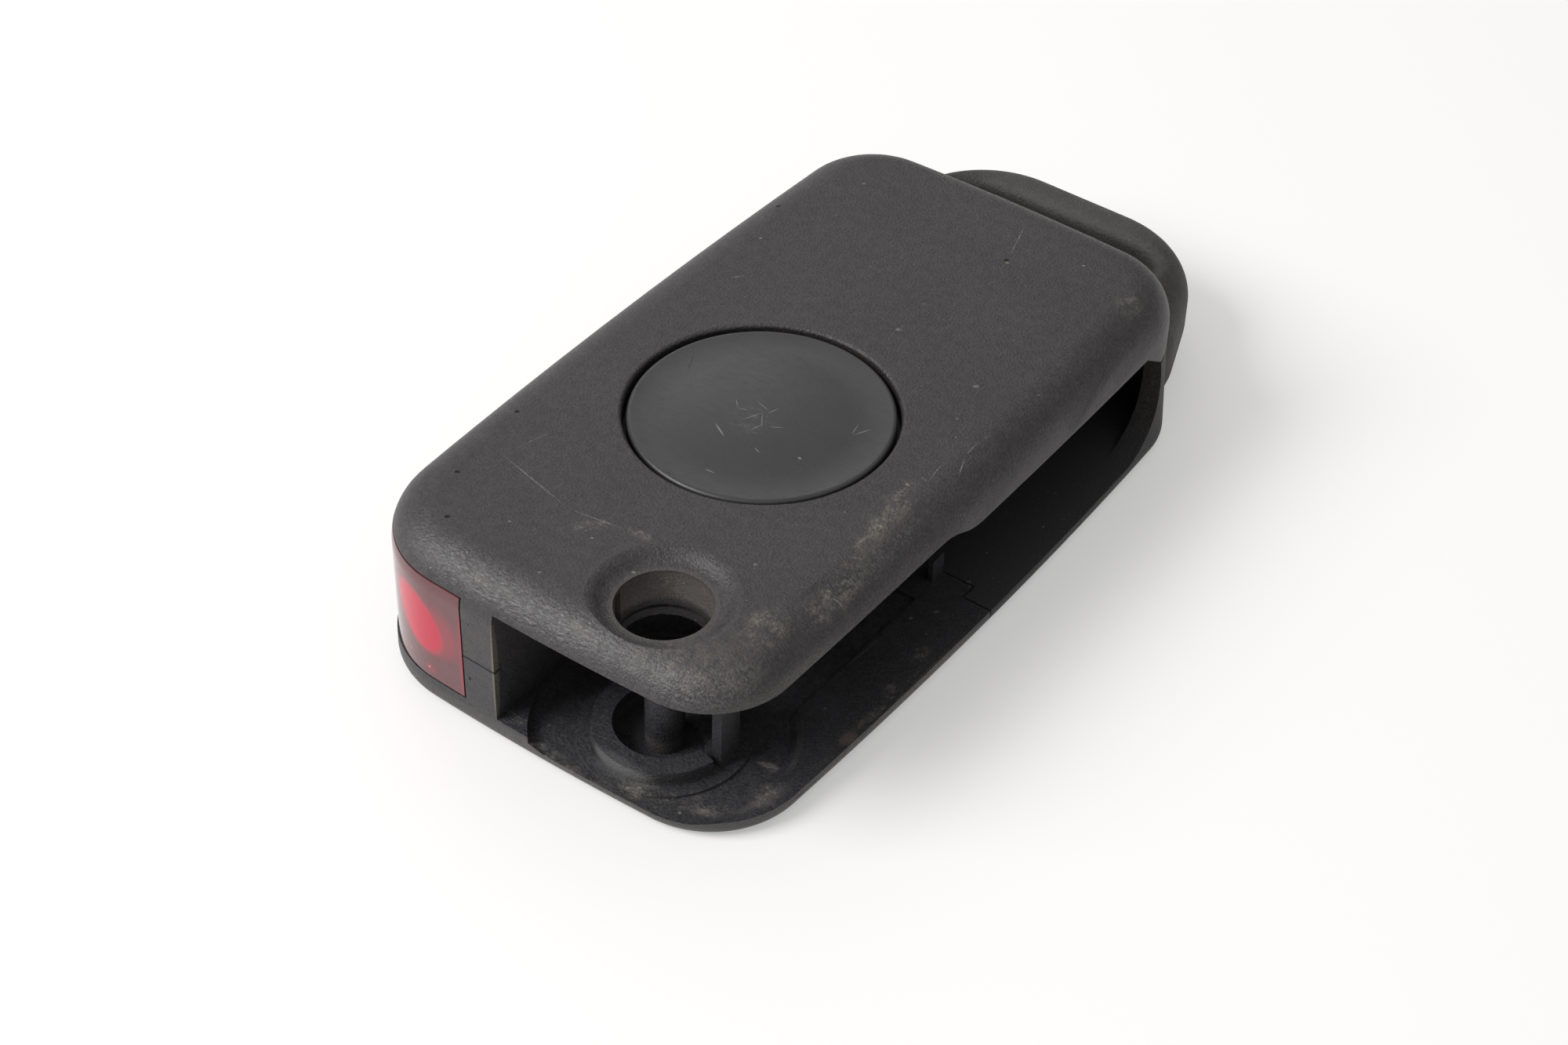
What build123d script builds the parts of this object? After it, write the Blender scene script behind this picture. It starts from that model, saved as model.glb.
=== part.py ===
"""Folding key fob housing, with its key blade missing.

Lengths are in millimetres and angles in degrees. X runs across the fob, and the blade bay is open
on the +X side. Y runs from the window end to the key ring loop. Z is up, with the button on top.
The origin lies on the resting face, under the middle of the overall length and width.
"""
import os
from math import cos, radians, sin

from build123d import *

os.makedirs("parts", exist_ok=True)

# Housing outline
body_length = 64.85
loop_reach = 11.15
front_left_taper = 0.85
front_right_taper = 0.2
rear_taper = 0.95
side_gap = 0.5
bay_width = 11.4
end_bow = 0.65
front_left_radius = 8.6
front_right_radius = 7.0
rear_radius = 7.3
base_right_spread = 0.8
base_left_spread = 0.805
base_corner_spread = 0.2
base_corner_radius = 8.0
base_rear_spread = 0.45

# Housing heights and walls
component_room = 3.4
parting_height = 6.9
rear_parting_height = 9.0
top_round = 3.6
bottom_round = 1.2
wall = 1.5
roof_thickness = 1.7
floor_thickness = 1.6
bay_wall = 1.1
joint_gap = 0.15

# Blade bay, its skirt line and the end of its slot
pivot_inset = 1.75
pivot_setback = 7.15
hub_radius = 10.1
skirt_front_drop = 2.5
skirt_rear_drop = 3.7
skirt_step_setback = 26.2
skirt_step_length = 5.5
slot_floor_inset = 11.65
slot_wall_inset = 6.15
slot_corner_inset = 8.85
slot_corner_drop = 0.4

# Recess in the floor of the bay
recess_depth = 0.3
recess_ramp = 0.9
recess_width = 8.2
recess_length = 30.2
ledge_height = 0.6
hub_step_radius = 6.6
hub_step_height = 0.2

# Pivot of the missing blade
ring_radius = 5.5
ring_bore = 3.9
ring_height = 1.2
ring_gap_angle = 8.0
collar_wall = 0.9
collar_height = 5.8
collar_start = -4.0
collar_sweep = 64.0
post_radius = 1.5
post_height = 6.7
post_lead = 0.3
well_depth = 0.7
anchor_height = 0.45
anchor_left = 0.1
anchor_step_x = 1.55
anchor_front = 2.16
anchor_step_front = 1.6

# Release hole
release_radius = 3.64
release_step = 0.2
release_dish_radius = 6.0
release_dish_depth = 0.8
dish_overrun = 0.03
release_collar_wall = 1.3
release_collar_drop = 3.2
release_lower_height = 0.7
key_notch_width = 1.0
key_notch_depth = 0.35
key_notch_drop = 0.35
key_notch_angle = 195.0

# Split between the bottom shell and the battery cover
cover_setback = 32.5
catch_inset = 3.7
catch_width = 3.2
catch_length = 1.5
catch_post_width = 0.45
catch_post_height = 2.1

# Key ring loop
loop_end_half_width = 11.1
loop_shoulder_inset = 1.35
loop_shoulder_setback = 1.25
loop_end_radius = 9.9
loop_shoulder_radius = 6.0
loop_root_length = 5.85
loop_bottom = 0.5
loop_step = 0.2
loop_round = 3.3
loop_bar = 4.8
loop_slot_half_width = 10.2
loop_slot_radius = 3.0
loop_slot_round = 1.1

# Push button and its seat
button_setback = 27.95
button_gap = 0.33
button_lip_round = 0.32
button_radius = 10.31
button_seat_depth = 1.9
button_seat_thickness = 0.8
button_seat_wall = 1.1
button_edge_drop = 0.15
button_rim_thickness = 1.1
button_skin = 0.8
button_edge_round = 0.3
dome_radius = 6.8
dome_rise = 0.5
button_travel = 0.5
stem_radius = 2.4
stem_clearance = 0.3
stem_gap = 0.15
snap_offset = 6.4
snap_width = 2.4
snap_thickness = 0.9
snap_hook = 0.5
snap_hook_height = 0.7
snap_gap = 0.15
snap_clearance = 0.2

# Window
lens_right = 6.15
lens_rear_setback = 12.0
lens_bottom = 2.5
lens_gap = 0.15
lens_flange_width = 0.5
lens_flange_thickness = 0.6
lens_flange_overlap = 0.5

# Circuit board and what holds it
board_thickness = 0.8
board_gap = 0.8
boss_radius = 1.1
boss_side_gap = 2.0
boss_rear_gap = 2.55
boss_left = -13.6
boss_rows = (15.5, 39.0, 41.2)
post_rows = (15.5, 16.5, 25.0)
post_middle = -3.5

# Push switch
switch_size = 6.0
switch_height = 1.45
plunger_radius = 1.6
plunger_gap = 0.08
plunger_rise = 0.6
plunger_depth = 0.6
switch_leg_width = 0.7
switch_leg_reach = 0.9
switch_leg_thickness = 0.2
switch_leg_pitch = 4.5

# Battery
cell_radius = 10.0
cell_thickness = 2.5
cell_cap_radius = 8.6
cell_cap_rise = 0.15
cell_round = 0.3
cell_side_gap = 0.2
cell_floor_gap = 1.3
tray_gap = 0.25
tray_wall = 0.8
tray_plate = 0.9
tray_side_gap = 0.2
tray_window = 8.0
tray_rear_gap = 0.3
board_cell_gap = 1.2
strip_thickness = 0.25
strip_width = 4.0
strip_cell_gap = 0.4
strip_reach = 12.0
leaf_pad = 2.0
strip_slot_gap = 0.3

# Guides between the bottom shell and the battery cover
guide_xs = (-11.5, -1.5)
guide_width = 3.0
guide_thickness = 0.7
guide_length = 5.5
guide_root = 2.4
guide_gap = 0.15
keeper_wall = 1.2
keeper_thickness = 0.8
keeper_length = 3.0

# Light emitters behind the window
emitter_radius = 2.5
emitter_flange_radius = 2.9
emitter_flange_thickness = 1.0
emitter_body_length = 3.6
emitter_angle = 218.0
emitter_x = -9.4
emitter_setback = 7.95
emitter_rise = 3.1
emitter_lead_length = 1.5
indicator_radius = 0.9
indicator_length = 2.1
indicator_x = -8.3
indicator_setback = 3.8
indicator_rise = 1.9
lead_radius = 0.25
emitter_lead_spread = 2.54
indicator_lead_spread = 1.27
indicator_lead_length = 1.0
indicator_angle = 212.0
indicator_flange_radius = 1.1
indicator_flange_thickness = 0.4
lead_bend = 0.4

# Small components on the board
chip_length = 8.7
chip_width = 3.9
chip_height = 1.5
chip_x = -10.5
chip_setback = 26.5
chip_leg_count = 7
chip_leg_pitch = 1.27
chip_leg_width = 0.42
chip_leg_reach = 1.05
chip_leg_thickness = 0.22
chip_leg_height = 0.7
resonator_length = 6.0
resonator_width = 2.6
resonator_height = 2.2
resonator_x = -7.0
resonator_setback = 40.0
capacitor_radius = 2.0
capacitor_height = 2.9
capacitor_x = -10.5
capacitor_setback = 48.0
resistor_length = 2.0
resistor_width = 1.25
resistor_height = 0.5
resistor_places = ((-14.0, 32.8), (-14.0, 35.6), (-6.5, 19.5), (-3.0, 41.5), (0.5, 45.0), (-3.5, 47.5))
transistor_length = 2.9
transistor_width = 1.3
transistor_height = 1.0
transistor_x = -9.5
transistor_setback = 17.6

# Derived heights
cell_bottom = floor_thickness + cell_floor_gap
cell_top = cell_bottom + 2 * cell_thickness
board_bottom = cell_top + board_cell_gap
board_top = board_bottom + board_thickness
roof_underside = board_top + component_room
total_height = roof_underside + roof_thickness
seat_top = total_height - button_seat_depth
seat_underside = seat_top - button_seat_thickness
skirt_front_height = total_height - skirt_front_drop
skirt_rear_height = total_height - skirt_rear_drop
recess_floor = floor_thickness - recess_depth
loop_top = rear_parting_height + loop_step

# Derived places along the length
overall_length = body_length + loop_reach
front_face = -overall_length / 2
rear_face = front_face + body_length
front_corner_y = front_face + end_bow
rear_corner_y = rear_face - end_bow
middle_y = (front_face + rear_face) / 2
loop_end = overall_length / 2
pivot_y = front_face + pivot_setback
joint_y = front_face + cover_setback
button_y = front_face + button_setback
tray_reach = cell_radius + tray_gap + tray_wall
cell_y = rear_face - wall - tray_rear_gap - tray_reach
step_y = front_face + skirt_step_setback
step_end = step_y + skirt_step_length
slot_start = rear_face - slot_floor_inset
slot_end = rear_face - slot_wall_inset
far = 2 * overall_length

# Derived places across the width: a coin cell and the bay lie side by side
cell_room = side_gap + 2 * cell_radius + cell_side_gap
side_x = (wall + cell_room + bay_wall + bay_width + wall) / 2
half_front_left = side_x - front_left_taper
half_front_right = side_x - front_right_taper
half_rear = side_x - rear_taper
base_right = side_x + base_right_spread
base_left = side_x + base_left_spread
base_front_right = half_front_right + base_corner_spread
base_half_rear = half_rear + base_rear_spread
bay_right = side_x - wall
bay_left = bay_right - bay_width
cabin_side = bay_left - bay_wall
cell_x = cabin_side - cell_side_gap - cell_radius
pivot_x = bay_left + pivot_inset
recess_right = bay_left + recess_width
catch_left = bay_right - catch_inset
boss_right = cabin_side - boss_side_gap
button_opening = button_radius + button_gap
release_lower_radius = release_radius - release_step
boss_places = (
    (boss_left, front_face + boss_rows[0]),
    (boss_left, front_face + boss_rows[1]),
    (boss_right, front_face + boss_rows[2]),
    (cell_x, rear_face - wall - boss_rear_gap),
)
post_places = (
    (boss_left, front_face + post_rows[0]),
    (post_middle, front_face + post_rows[1]),
    (boss_left, front_face + post_rows[2]),
    (boss_right, front_face + post_rows[2]),
)
pivot_axis = Axis((pivot_x, pivot_y, 0), (0, 0, 1))
button_axis = Axis((0, button_y, 0), (0, 0, 1))
pivot_section = Plane(origin=(pivot_x, pivot_y, 0), x_dir=(1, 0, 0), z_dir=(0, -1, 0))
button_section = Plane(origin=(0, button_y, 0), x_dir=(1, 0, 0), z_dir=(0, -1, 0))


# Shared outlines
with BuildSketch() as body_plan:
    with BuildLine():
        front_left = (-half_front_left, front_corner_y)
        front_right = (half_front_right, front_corner_y)
        rear_right = (half_rear, rear_corner_y)
        rear_left = (-half_rear, rear_corner_y)
        ThreePointArc(front_left, (0, front_face), front_right)
        ThreePointArc(front_right, (side_x, middle_y), rear_right)
        ThreePointArc(rear_right, (0, rear_face), rear_left)
        ThreePointArc(rear_left, (-side_x, middle_y), front_left)
    make_face()
    fillet(body_plan.vertices().sort_by_distance(front_left)[0], front_left_radius)
    fillet(body_plan.vertices().sort_by_distance(front_right)[0], front_right_radius)
    fillet(body_plan.vertices().sort_by_distance(rear_right)[0], rear_radius)
    fillet(body_plan.vertices().sort_by_distance(rear_left)[0], rear_radius)

# The lower halves widen a little towards the resting face
with BuildSketch() as base_plan:
    with BuildLine():
        base_corner = (base_front_right, front_corner_y)
        base_rear_right = (base_half_rear, rear_corner_y)
        base_rear_left = (-base_half_rear, rear_corner_y)
        ThreePointArc(front_left, (0, front_face), base_corner)
        ThreePointArc(base_corner, (base_right, middle_y), base_rear_right)
        ThreePointArc(base_rear_right, (0, rear_face), base_rear_left)
        ThreePointArc(base_rear_left, (-base_left, middle_y), front_left)
    make_face()
    fillet(base_plan.vertices().sort_by_distance(front_left)[0], front_left_radius)
    fillet(base_plan.vertices().sort_by_distance(base_corner)[0], base_corner_radius)
    fillet(base_plan.vertices().sort_by_distance(base_rear_right)[0], rear_radius)
    fillet(base_plan.vertices().sort_by_distance(base_rear_left)[0], rear_radius)

with BuildSketch() as inner_plan:
    add(body_plan.sketch)
    offset(amount=-wall)

# The bay is carried on past the open front and the open right side
with BuildSketch() as bay_plan:
    with Locations((pivot_x, pivot_y)):
        Circle(hub_radius)
    with Locations((pivot_x - hub_radius, pivot_y)):
        Rectangle(far, far, align=(Align.MIN, Align.MAX))
    with Locations((bay_left, pivot_y)):
        Rectangle(far, far, align=(Align.MIN, Align.MIN))

with BuildSketch() as walled_bay_plan:
    with Locations((pivot_x, pivot_y)):
        Circle(hub_radius + bay_wall)
    with Locations((pivot_x - hub_radius - bay_wall, pivot_y)):
        Rectangle(far, far, align=(Align.MIN, Align.MAX))
    with Locations((cabin_side, pivot_y)):
        Rectangle(far, far, align=(Align.MIN, Align.MIN))

with BuildSketch() as cabin_plan:
    add(inner_plan.sketch)
    add(walled_bay_plan.sketch, mode=Mode.SUBTRACT)

with BuildSketch() as inner_bay_plan:
    add(inner_plan.sketch)
    add(bay_plan.sketch, mode=Mode.INTERSECT)

# Side view of the open side of the bay, from the front end to the end of the slot
with BuildSketch(Plane.YZ) as side_view:
    step_middle = ((step_y + step_end) / 2, (skirt_front_height + skirt_rear_height) / 2)
    corner = (rear_face - slot_corner_inset, skirt_rear_height - slot_corner_drop)
    with BuildLine():
        Line((-far, floor_thickness), (slot_start, floor_thickness))
        TangentArc((slot_start, floor_thickness), (slot_end, rear_parting_height), tangent=(1, 0))
        Line((slot_end, rear_parting_height), corner)
        Line(corner, (step_end, skirt_rear_height))
        rear_bend = TangentArc((step_end, skirt_rear_height), step_middle, tangent=(-1, 0))
        TangentArc(step_middle, (step_y, skirt_front_height), tangent=rear_bend % 1)
        Line((step_y, skirt_front_height), (-far, skirt_front_height))
        Line((-far, skirt_front_height), (-far, floor_thickness))
    make_face()

# Side view of all that lies above the parting line
with BuildSketch(Plane.YZ) as upper_view:
    rise_middle = ((slot_start + slot_end) / 2, (parting_height + rear_parting_height) / 2)
    with BuildLine():
        Line((-far, parting_height), (slot_start, parting_height))
        low_bend = TangentArc((slot_start, parting_height), rise_middle, tangent=(1, 0))
        TangentArc(rise_middle, (slot_end, rear_parting_height), tangent=low_bend % 1)
        Line((slot_end, rear_parting_height), (far, rear_parting_height))
        Line((far, rear_parting_height), (far, far))
        Line((far, far), (-far, far))
        Line((-far, far), (-far, parting_height))
    make_face()

with BuildPart() as side_opening:
    with BuildSketch(Plane.XY.offset(floor_thickness)):
        add(bay_plan.sketch)
    extrude(amount=total_height)
    extrude(side_view.sketch, amount=far, both=True, mode=Mode.INTERSECT)

with BuildPart() as upper_half:
    extrude(upper_view.sketch, amount=far, both=True)

with BuildPart() as body_block:
    with BuildSketch():
        add(body_plan.sketch)
    extrude(amount=total_height)
    fillet(body_block.edges().group_by(Axis.Z)[-1], top_round)

with BuildPart() as lower_block:
    with BuildSketch():
        add(base_plan.sketch)
    with BuildSketch(Plane.XY.offset(rear_parting_height)):
        add(body_plan.sketch)
    loft(ruled=True)
    fillet(lower_block.edges().group_by(Axis.Z)[0], bottom_round)

# The window wraps the front left corner
with BuildSketch() as window_corner:
    with Locations((-lens_right, front_face + lens_rear_setback)):
        Rectangle(far, far, align=(Align.MAX, Align.MAX))

with BuildPart() as window_opening:
    with BuildSketch(Plane.XY.offset(lens_bottom)):
        add(body_plan.sketch)
        offset(amount=wall)
        add(inner_plan.sketch, mode=Mode.SUBTRACT)
        add(window_corner.sketch, mode=Mode.INTERSECT)
    extrude(amount=skirt_front_height - lens_bottom)


# Upper housing half

with BuildPart() as top_shell:
    add(body_block.part)
    with BuildSketch():
        add(cabin_plan.sketch)
        add(inner_bay_plan.sketch)
    extrude(amount=roof_underside, mode=Mode.SUBTRACT)
    add(side_opening.part, mode=Mode.SUBTRACT)
    add(window_opening.part, mode=Mode.SUBTRACT)
    add(upper_half.part, mode=Mode.INTERSECT)
    # Seat under the round button, with a hole for its stem and slots for its hooks
    snap_slot_length = snap_thickness + snap_hook + 2 * snap_clearance
    snap_slot_middle = snap_offset - snap_hook / 2
    with BuildSketch(Plane.XY.offset(seat_underside)):
        with Locations((0, button_y)):
            Circle(button_opening + button_seat_wall)
    extrude(amount=roof_underside - seat_underside)
    with BuildSketch(Plane.XY.offset(seat_top)):
        with Locations((0, button_y)):
            Circle(button_opening)
    extrude(amount=total_height, mode=Mode.SUBTRACT)
    lip = top_shell.edges().filter_by(GeomType.CIRCLE).group_by(Axis.Z)[-1]
    fillet(lip, button_lip_round)
    with BuildSketch(Plane.XY.offset(seat_underside)):
        with Locations((0, button_y)):
            Circle(stem_radius + stem_clearance)
        with Locations((0, button_y - snap_slot_middle), (0, button_y + snap_slot_middle)):
            Rectangle(snap_width + 2 * snap_clearance, snap_slot_length)
    extrude(amount=button_seat_thickness, mode=Mode.SUBTRACT)
    # Collar and dish of the release hole
    with BuildSketch(Plane.XY.offset(roof_underside - release_collar_drop)):
        with Locations((pivot_x, pivot_y)):
            Circle(release_radius + release_collar_wall)
    extrude(amount=release_collar_drop)
    with BuildSketch(pivot_section):
        dish_floor = total_height - release_dish_depth
        with BuildLine():
            dish_top = total_height + dish_overrun
            dish_middle = ((release_radius + release_dish_radius) / 2, (dish_floor + dish_top) / 2)
            Line((0, dish_floor), (release_radius, dish_floor))
            dish_bend = TangentArc((release_radius, dish_floor), dish_middle, tangent=(1, 0))
            TangentArc(dish_middle, (release_dish_radius, dish_top), tangent=dish_bend % 1)
            Line((release_dish_radius, dish_top), (0, dish_top))
            Line((0, dish_top), (0, dish_floor))
        make_face()
    revolve(axis=pivot_axis, mode=Mode.SUBTRACT)
    with BuildSketch(Plane.XY.offset(roof_underside - release_collar_drop)):
        with Locations((pivot_x, pivot_y)):
            Circle(release_lower_radius)
    extrude(amount=total_height, mode=Mode.SUBTRACT)
    with BuildSketch(Plane.XY.offset(roof_underside - release_collar_drop + release_lower_height)):
        with Locations((pivot_x, pivot_y)):
            Circle(release_radius)
    extrude(amount=total_height, mode=Mode.SUBTRACT)
    # Groove down the wall of the hole
    with BuildSketch(Plane.XY.offset(dish_floor - key_notch_drop)):
        notch_x = release_radius * cos(radians(key_notch_angle))
        notch_y = release_radius * sin(radians(key_notch_angle))
        with Locations(Location((pivot_x + notch_x, pivot_y + notch_y), key_notch_angle)):
            Rectangle(2 * key_notch_depth, key_notch_width)
    extrude(amount=key_notch_drop - release_collar_drop, mode=Mode.SUBTRACT)
    # Bosses that hold the circuit board down
    with BuildSketch(Plane.XY.offset(board_top)):
        with Locations(*boss_places):
            Circle(boss_radius)
    extrude(amount=roof_underside - board_top)
top_shell.part.label = "top_shell"
export_step(top_shell.part, "parts/top_shell.step")


# Lower front half, with the floor of the bay

with BuildPart() as bottom_shell:
    add(lower_block.part)
    with BuildSketch(Plane.XY.offset(parting_height)):
        Rectangle(far, far)
    extrude(amount=total_height, mode=Mode.SUBTRACT)
    with BuildSketch(Plane.XY.offset(floor_thickness)):
        add(cabin_plan.sketch)
        add(inner_bay_plan.sketch)
    extrude(amount=total_height, mode=Mode.SUBTRACT)
    add(side_opening.part, mode=Mode.SUBTRACT)
    add(window_opening.part, mode=Mode.SUBTRACT)
    # Recess for the hub and the blade
    with BuildSketch(Plane.XY.offset(recess_floor)):
        with Locations((pivot_x, pivot_y)):
            Circle(hub_radius - recess_ramp)
    with BuildSketch(Plane.XY.offset(floor_thickness)):
        with Locations((pivot_x, pivot_y)):
            Circle(hub_radius)
    loft(mode=Mode.SUBTRACT)
    with BuildSketch(Plane.XY.offset(recess_floor)):
        with Locations((bay_left, pivot_y)):
            Rectangle(
                recess_right - bay_left,
                recess_length - pivot_setback,
                align=(Align.MIN, Align.MIN),
            )
    extrude(amount=recess_depth, mode=Mode.SUBTRACT)
    # Ledge between the hub recess and the left end of the front opening
    with BuildSketch(Plane.XY.offset(floor_thickness)):
        add(body_plan.sketch)
        with Locations((pivot_x - hub_radius, pivot_y)):
            Rectangle(hub_radius, far, align=(Align.MIN, Align.MAX), mode=Mode.INTERSECT)
        with Locations((pivot_x, pivot_y)):
            Circle(hub_radius, mode=Mode.SUBTRACT)
    extrude(amount=ledge_height)
    # Stepped floor, ring, collar and post round the pivot
    with BuildSketch(Plane.XY.offset(recess_floor)):
        with Locations((pivot_x, pivot_y)):
            Circle(hub_step_radius)
    extrude(amount=hub_step_height)
    with BuildSketch(Plane.XY.offset(recess_floor)):
        with Locations((pivot_x, pivot_y)):
            Circle(ring_radius)
    extrude(amount=ring_height + hub_step_height)
    with BuildSketch(Plane.XY.offset(recess_floor + hub_step_height)):
        with BuildLine():
            gap_end = radians(collar_start)
            gap_start = radians(collar_start - ring_gap_angle)
            reach = 2 * ring_radius
            start_point = (pivot_x + reach * cos(gap_start), pivot_y + reach * sin(gap_start))
            end_point = (pivot_x + reach * cos(gap_end), pivot_y + reach * sin(gap_end))
            Polyline((pivot_x, pivot_y), start_point, end_point, close=True)
        make_face()
    extrude(amount=ring_height, mode=Mode.SUBTRACT)
    with BuildSketch(Plane.XY.offset(recess_floor + hub_step_height)):
        with BuildLine():
            outer_arc = CenterArc((pivot_x, pivot_y), ring_radius, collar_start, collar_sweep)
            inner_radius = ring_radius - collar_wall
            inner_arc = CenterArc((pivot_x, pivot_y), inner_radius, collar_start, collar_sweep)
            Line(outer_arc @ 0, inner_arc @ 0)
            Line(outer_arc @ 1, inner_arc @ 1)
        make_face()
    extrude(amount=collar_height)
    with BuildSketch(Plane.XY.offset(recess_floor - well_depth)):
        with Locations((pivot_x, pivot_y)):
            Circle(ring_bore)
    extrude(amount=well_depth + ring_height + hub_step_height, mode=Mode.SUBTRACT)
    with BuildSketch(Plane.XY.offset(recess_floor - well_depth)):
        with Locations((pivot_x, pivot_y)):
            Circle(post_radius)
    extrude(amount=post_height)
    post_tip = bottom_shell.edges().filter_by(
        lambda edge: edge.geom_type == GeomType.CIRCLE and abs(edge.radius - post_radius) < 0.001
    )
    chamfer(post_tip.sort_by(Axis.Z)[-1], post_lead)
    # Stepped anchor for the missing spring
    with BuildSketch(Plane.XY.offset(recess_floor - well_depth)):
        with BuildLine():
            Polyline(
                (pivot_x + anchor_left, pivot_y + anchor_front),
                (pivot_x + anchor_step_x, pivot_y + anchor_front),
                (pivot_x + anchor_step_x, pivot_y + anchor_step_front),
                (pivot_x + ring_bore, pivot_y + anchor_step_front),
                (pivot_x + ring_bore, pivot_y + ring_bore),
                (pivot_x + anchor_left, pivot_y + ring_bore),
                close=True,
            )
        make_face()
        with Locations((pivot_x, pivot_y)):
            Circle(ring_bore, mode=Mode.INTERSECT)
    extrude(amount=anchor_height)
    # Posts under the circuit board
    with BuildSketch(Plane.XY.offset(floor_thickness)):
        with Locations(*post_places):
            Circle(boss_radius)
    extrude(amount=board_bottom - floor_thickness)
    # Keepers over the tongues of the battery cover
    keeper_clear = guide_width + 2 * guide_gap
    keeper_rise = 2 * guide_gap + guide_thickness
    keeper_y = joint_y - keeper_length / 2 - guide_gap
    with BuildSketch(Plane.XY.offset(floor_thickness)):
        with Locations(*[(x, keeper_y) for x in guide_xs]):
            Rectangle(keeper_clear + 2 * keeper_wall, keeper_length)
    extrude(amount=keeper_rise + keeper_thickness)
    with BuildSketch(Plane.XY.offset(floor_thickness)):
        with Locations(*[(x, keeper_y) for x in guide_xs]):
            Rectangle(keeper_clear, keeper_length)
    extrude(amount=keeper_rise, mode=Mode.SUBTRACT)
    # The joint with the battery cover, and the catch that stands past it
    with BuildSketch():
        with Locations((0, joint_y)):
            Rectangle(far, far, align=(Align.CENTER, Align.MIN))
        with Locations((catch_left, joint_y)):
            catch_align = (Align.MIN, Align.MIN)
            Rectangle(catch_width, catch_length, align=catch_align, mode=Mode.SUBTRACT)
    extrude(amount=total_height, mode=Mode.SUBTRACT)
    with BuildSketch(Plane.XY.offset(floor_thickness)):
        with Locations((catch_left, joint_y + catch_length / 2)):
            Rectangle(catch_post_width, catch_length, align=(Align.MIN, Align.CENTER))
    extrude(amount=catch_post_height)
bottom_shell.part.label = "bottom_shell"
export_step(bottom_shell.part, "parts/bottom_shell.step")


# Lower rear half, which slides off backwards and carries the key ring loop

loop_shoulder_x = half_rear - loop_shoulder_inset
loop_shoulder_y = rear_face - loop_shoulder_setback
loop_root_y = rear_face - loop_root_length
loop_slot_end = loop_end - loop_bar
cover_front = joint_y + joint_gap

with BuildSketch() as loop_plan:
    with BuildLine():
        Polyline(
            (-loop_shoulder_x, loop_root_y),
            (loop_shoulder_x, loop_root_y),
            (loop_shoulder_x, loop_shoulder_y),
            (loop_end_half_width, loop_end),
            (-loop_end_half_width, loop_end),
            (-loop_shoulder_x, loop_shoulder_y),
            close=True,
        )
    make_face()
    fillet(loop_plan.vertices().group_by(Axis.Y)[-1], loop_end_radius)
    shoulders = [v for v in loop_plan.vertices() if abs(v.Y - loop_shoulder_y) < 0.001]
    fillet(shoulders, loop_shoulder_radius)

lowered_upper_half = Pos(0, 0, -joint_gap) * upper_half.part

with BuildPart() as cover_block:
    add(lower_block.part)
    add(lowered_upper_half, mode=Mode.SUBTRACT)
    with BuildSketch():
        with Locations((0, cover_front)):
            Rectangle(far, far, align=(Align.CENTER, Align.MIN))
        with Locations((catch_left - joint_gap, joint_y)):
            catch_align = (Align.MIN, Align.MIN)
            catch_cut = catch_width + 2 * joint_gap
            Rectangle(catch_cut, catch_length + joint_gap, align=catch_align, mode=Mode.SUBTRACT)
    extrude(amount=total_height, mode=Mode.INTERSECT)

with BuildPart() as upper_clearance:
    with BuildSketch():
        add(body_plan.sketch)
        offset(amount=joint_gap)
    extrude(amount=total_height)
    add(lowered_upper_half, mode=Mode.INTERSECT)

with BuildPart() as battery_cover:
    with BuildSketch(Plane.XY.offset(loop_bottom)):
        add(loop_plan.sketch)
    extrude(amount=loop_top - loop_bottom)
    outer_rims = battery_cover.faces().filter_by(Axis.Z).edges().filter_by(
        lambda edge: edge.center().Y > loop_root_y + 1
    )
    fillet(outer_rims, loop_round)
    with BuildSketch():
        with Locations((0, rear_face)):
            slot_align = (Align.CENTER, Align.MIN)
            Rectangle(2 * loop_slot_half_width, loop_slot_end - rear_face, align=slot_align)
        fillet(vertices().group_by(Axis.Y)[-1], loop_slot_radius)
    extrude(amount=total_height, mode=Mode.SUBTRACT)
    slot_rims = battery_cover.faces().filter_by(Axis.Z).edges().filter_by(
        lambda edge: abs(edge.center().X) < loop_slot_half_width + 0.1
        and rear_face + 0.1 < edge.center().Y < loop_slot_end + 0.1
    )
    fillet(slot_rims, loop_slot_round)
    add(cover_block.part)
    with BuildSketch(Plane.XY.offset(floor_thickness)):
        add(cabin_plan.sketch)
        add(inner_bay_plan.sketch)
    extrude(amount=total_height, mode=Mode.SUBTRACT)
    add(side_opening.part, mode=Mode.SUBTRACT)
    add(upper_clearance.part, mode=Mode.SUBTRACT)
    # Tongues that run under the keepers of the bottom shell
    with BuildSketch(Plane.XY.offset(floor_thickness + guide_gap)):
        with Locations(*[(x, cover_front - guide_length) for x in guide_xs]):
            tongue_align = (Align.CENTER, Align.MIN)
            Rectangle(guide_width, guide_length + guide_root, align=tongue_align)
    extrude(amount=guide_thickness)
    with BuildSketch(Plane.XY.offset(floor_thickness)):
        with Locations(*[(x, cover_front) for x in guide_xs]):
            Rectangle(guide_width, guide_root, align=(Align.CENTER, Align.MIN))
    extrude(amount=guide_gap)
battery_cover.part.label = "battery_cover"
export_step(battery_cover.part, "parts/battery_cover.step")


# Push button, with its stem and its two snap hooks

button_top = total_height - button_edge_drop
button_bottom = button_top - button_rim_thickness
button_inside = button_top - button_skin
plunger_top = board_top + switch_height + plunger_rise
hook_top = seat_underside - snap_gap

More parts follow.
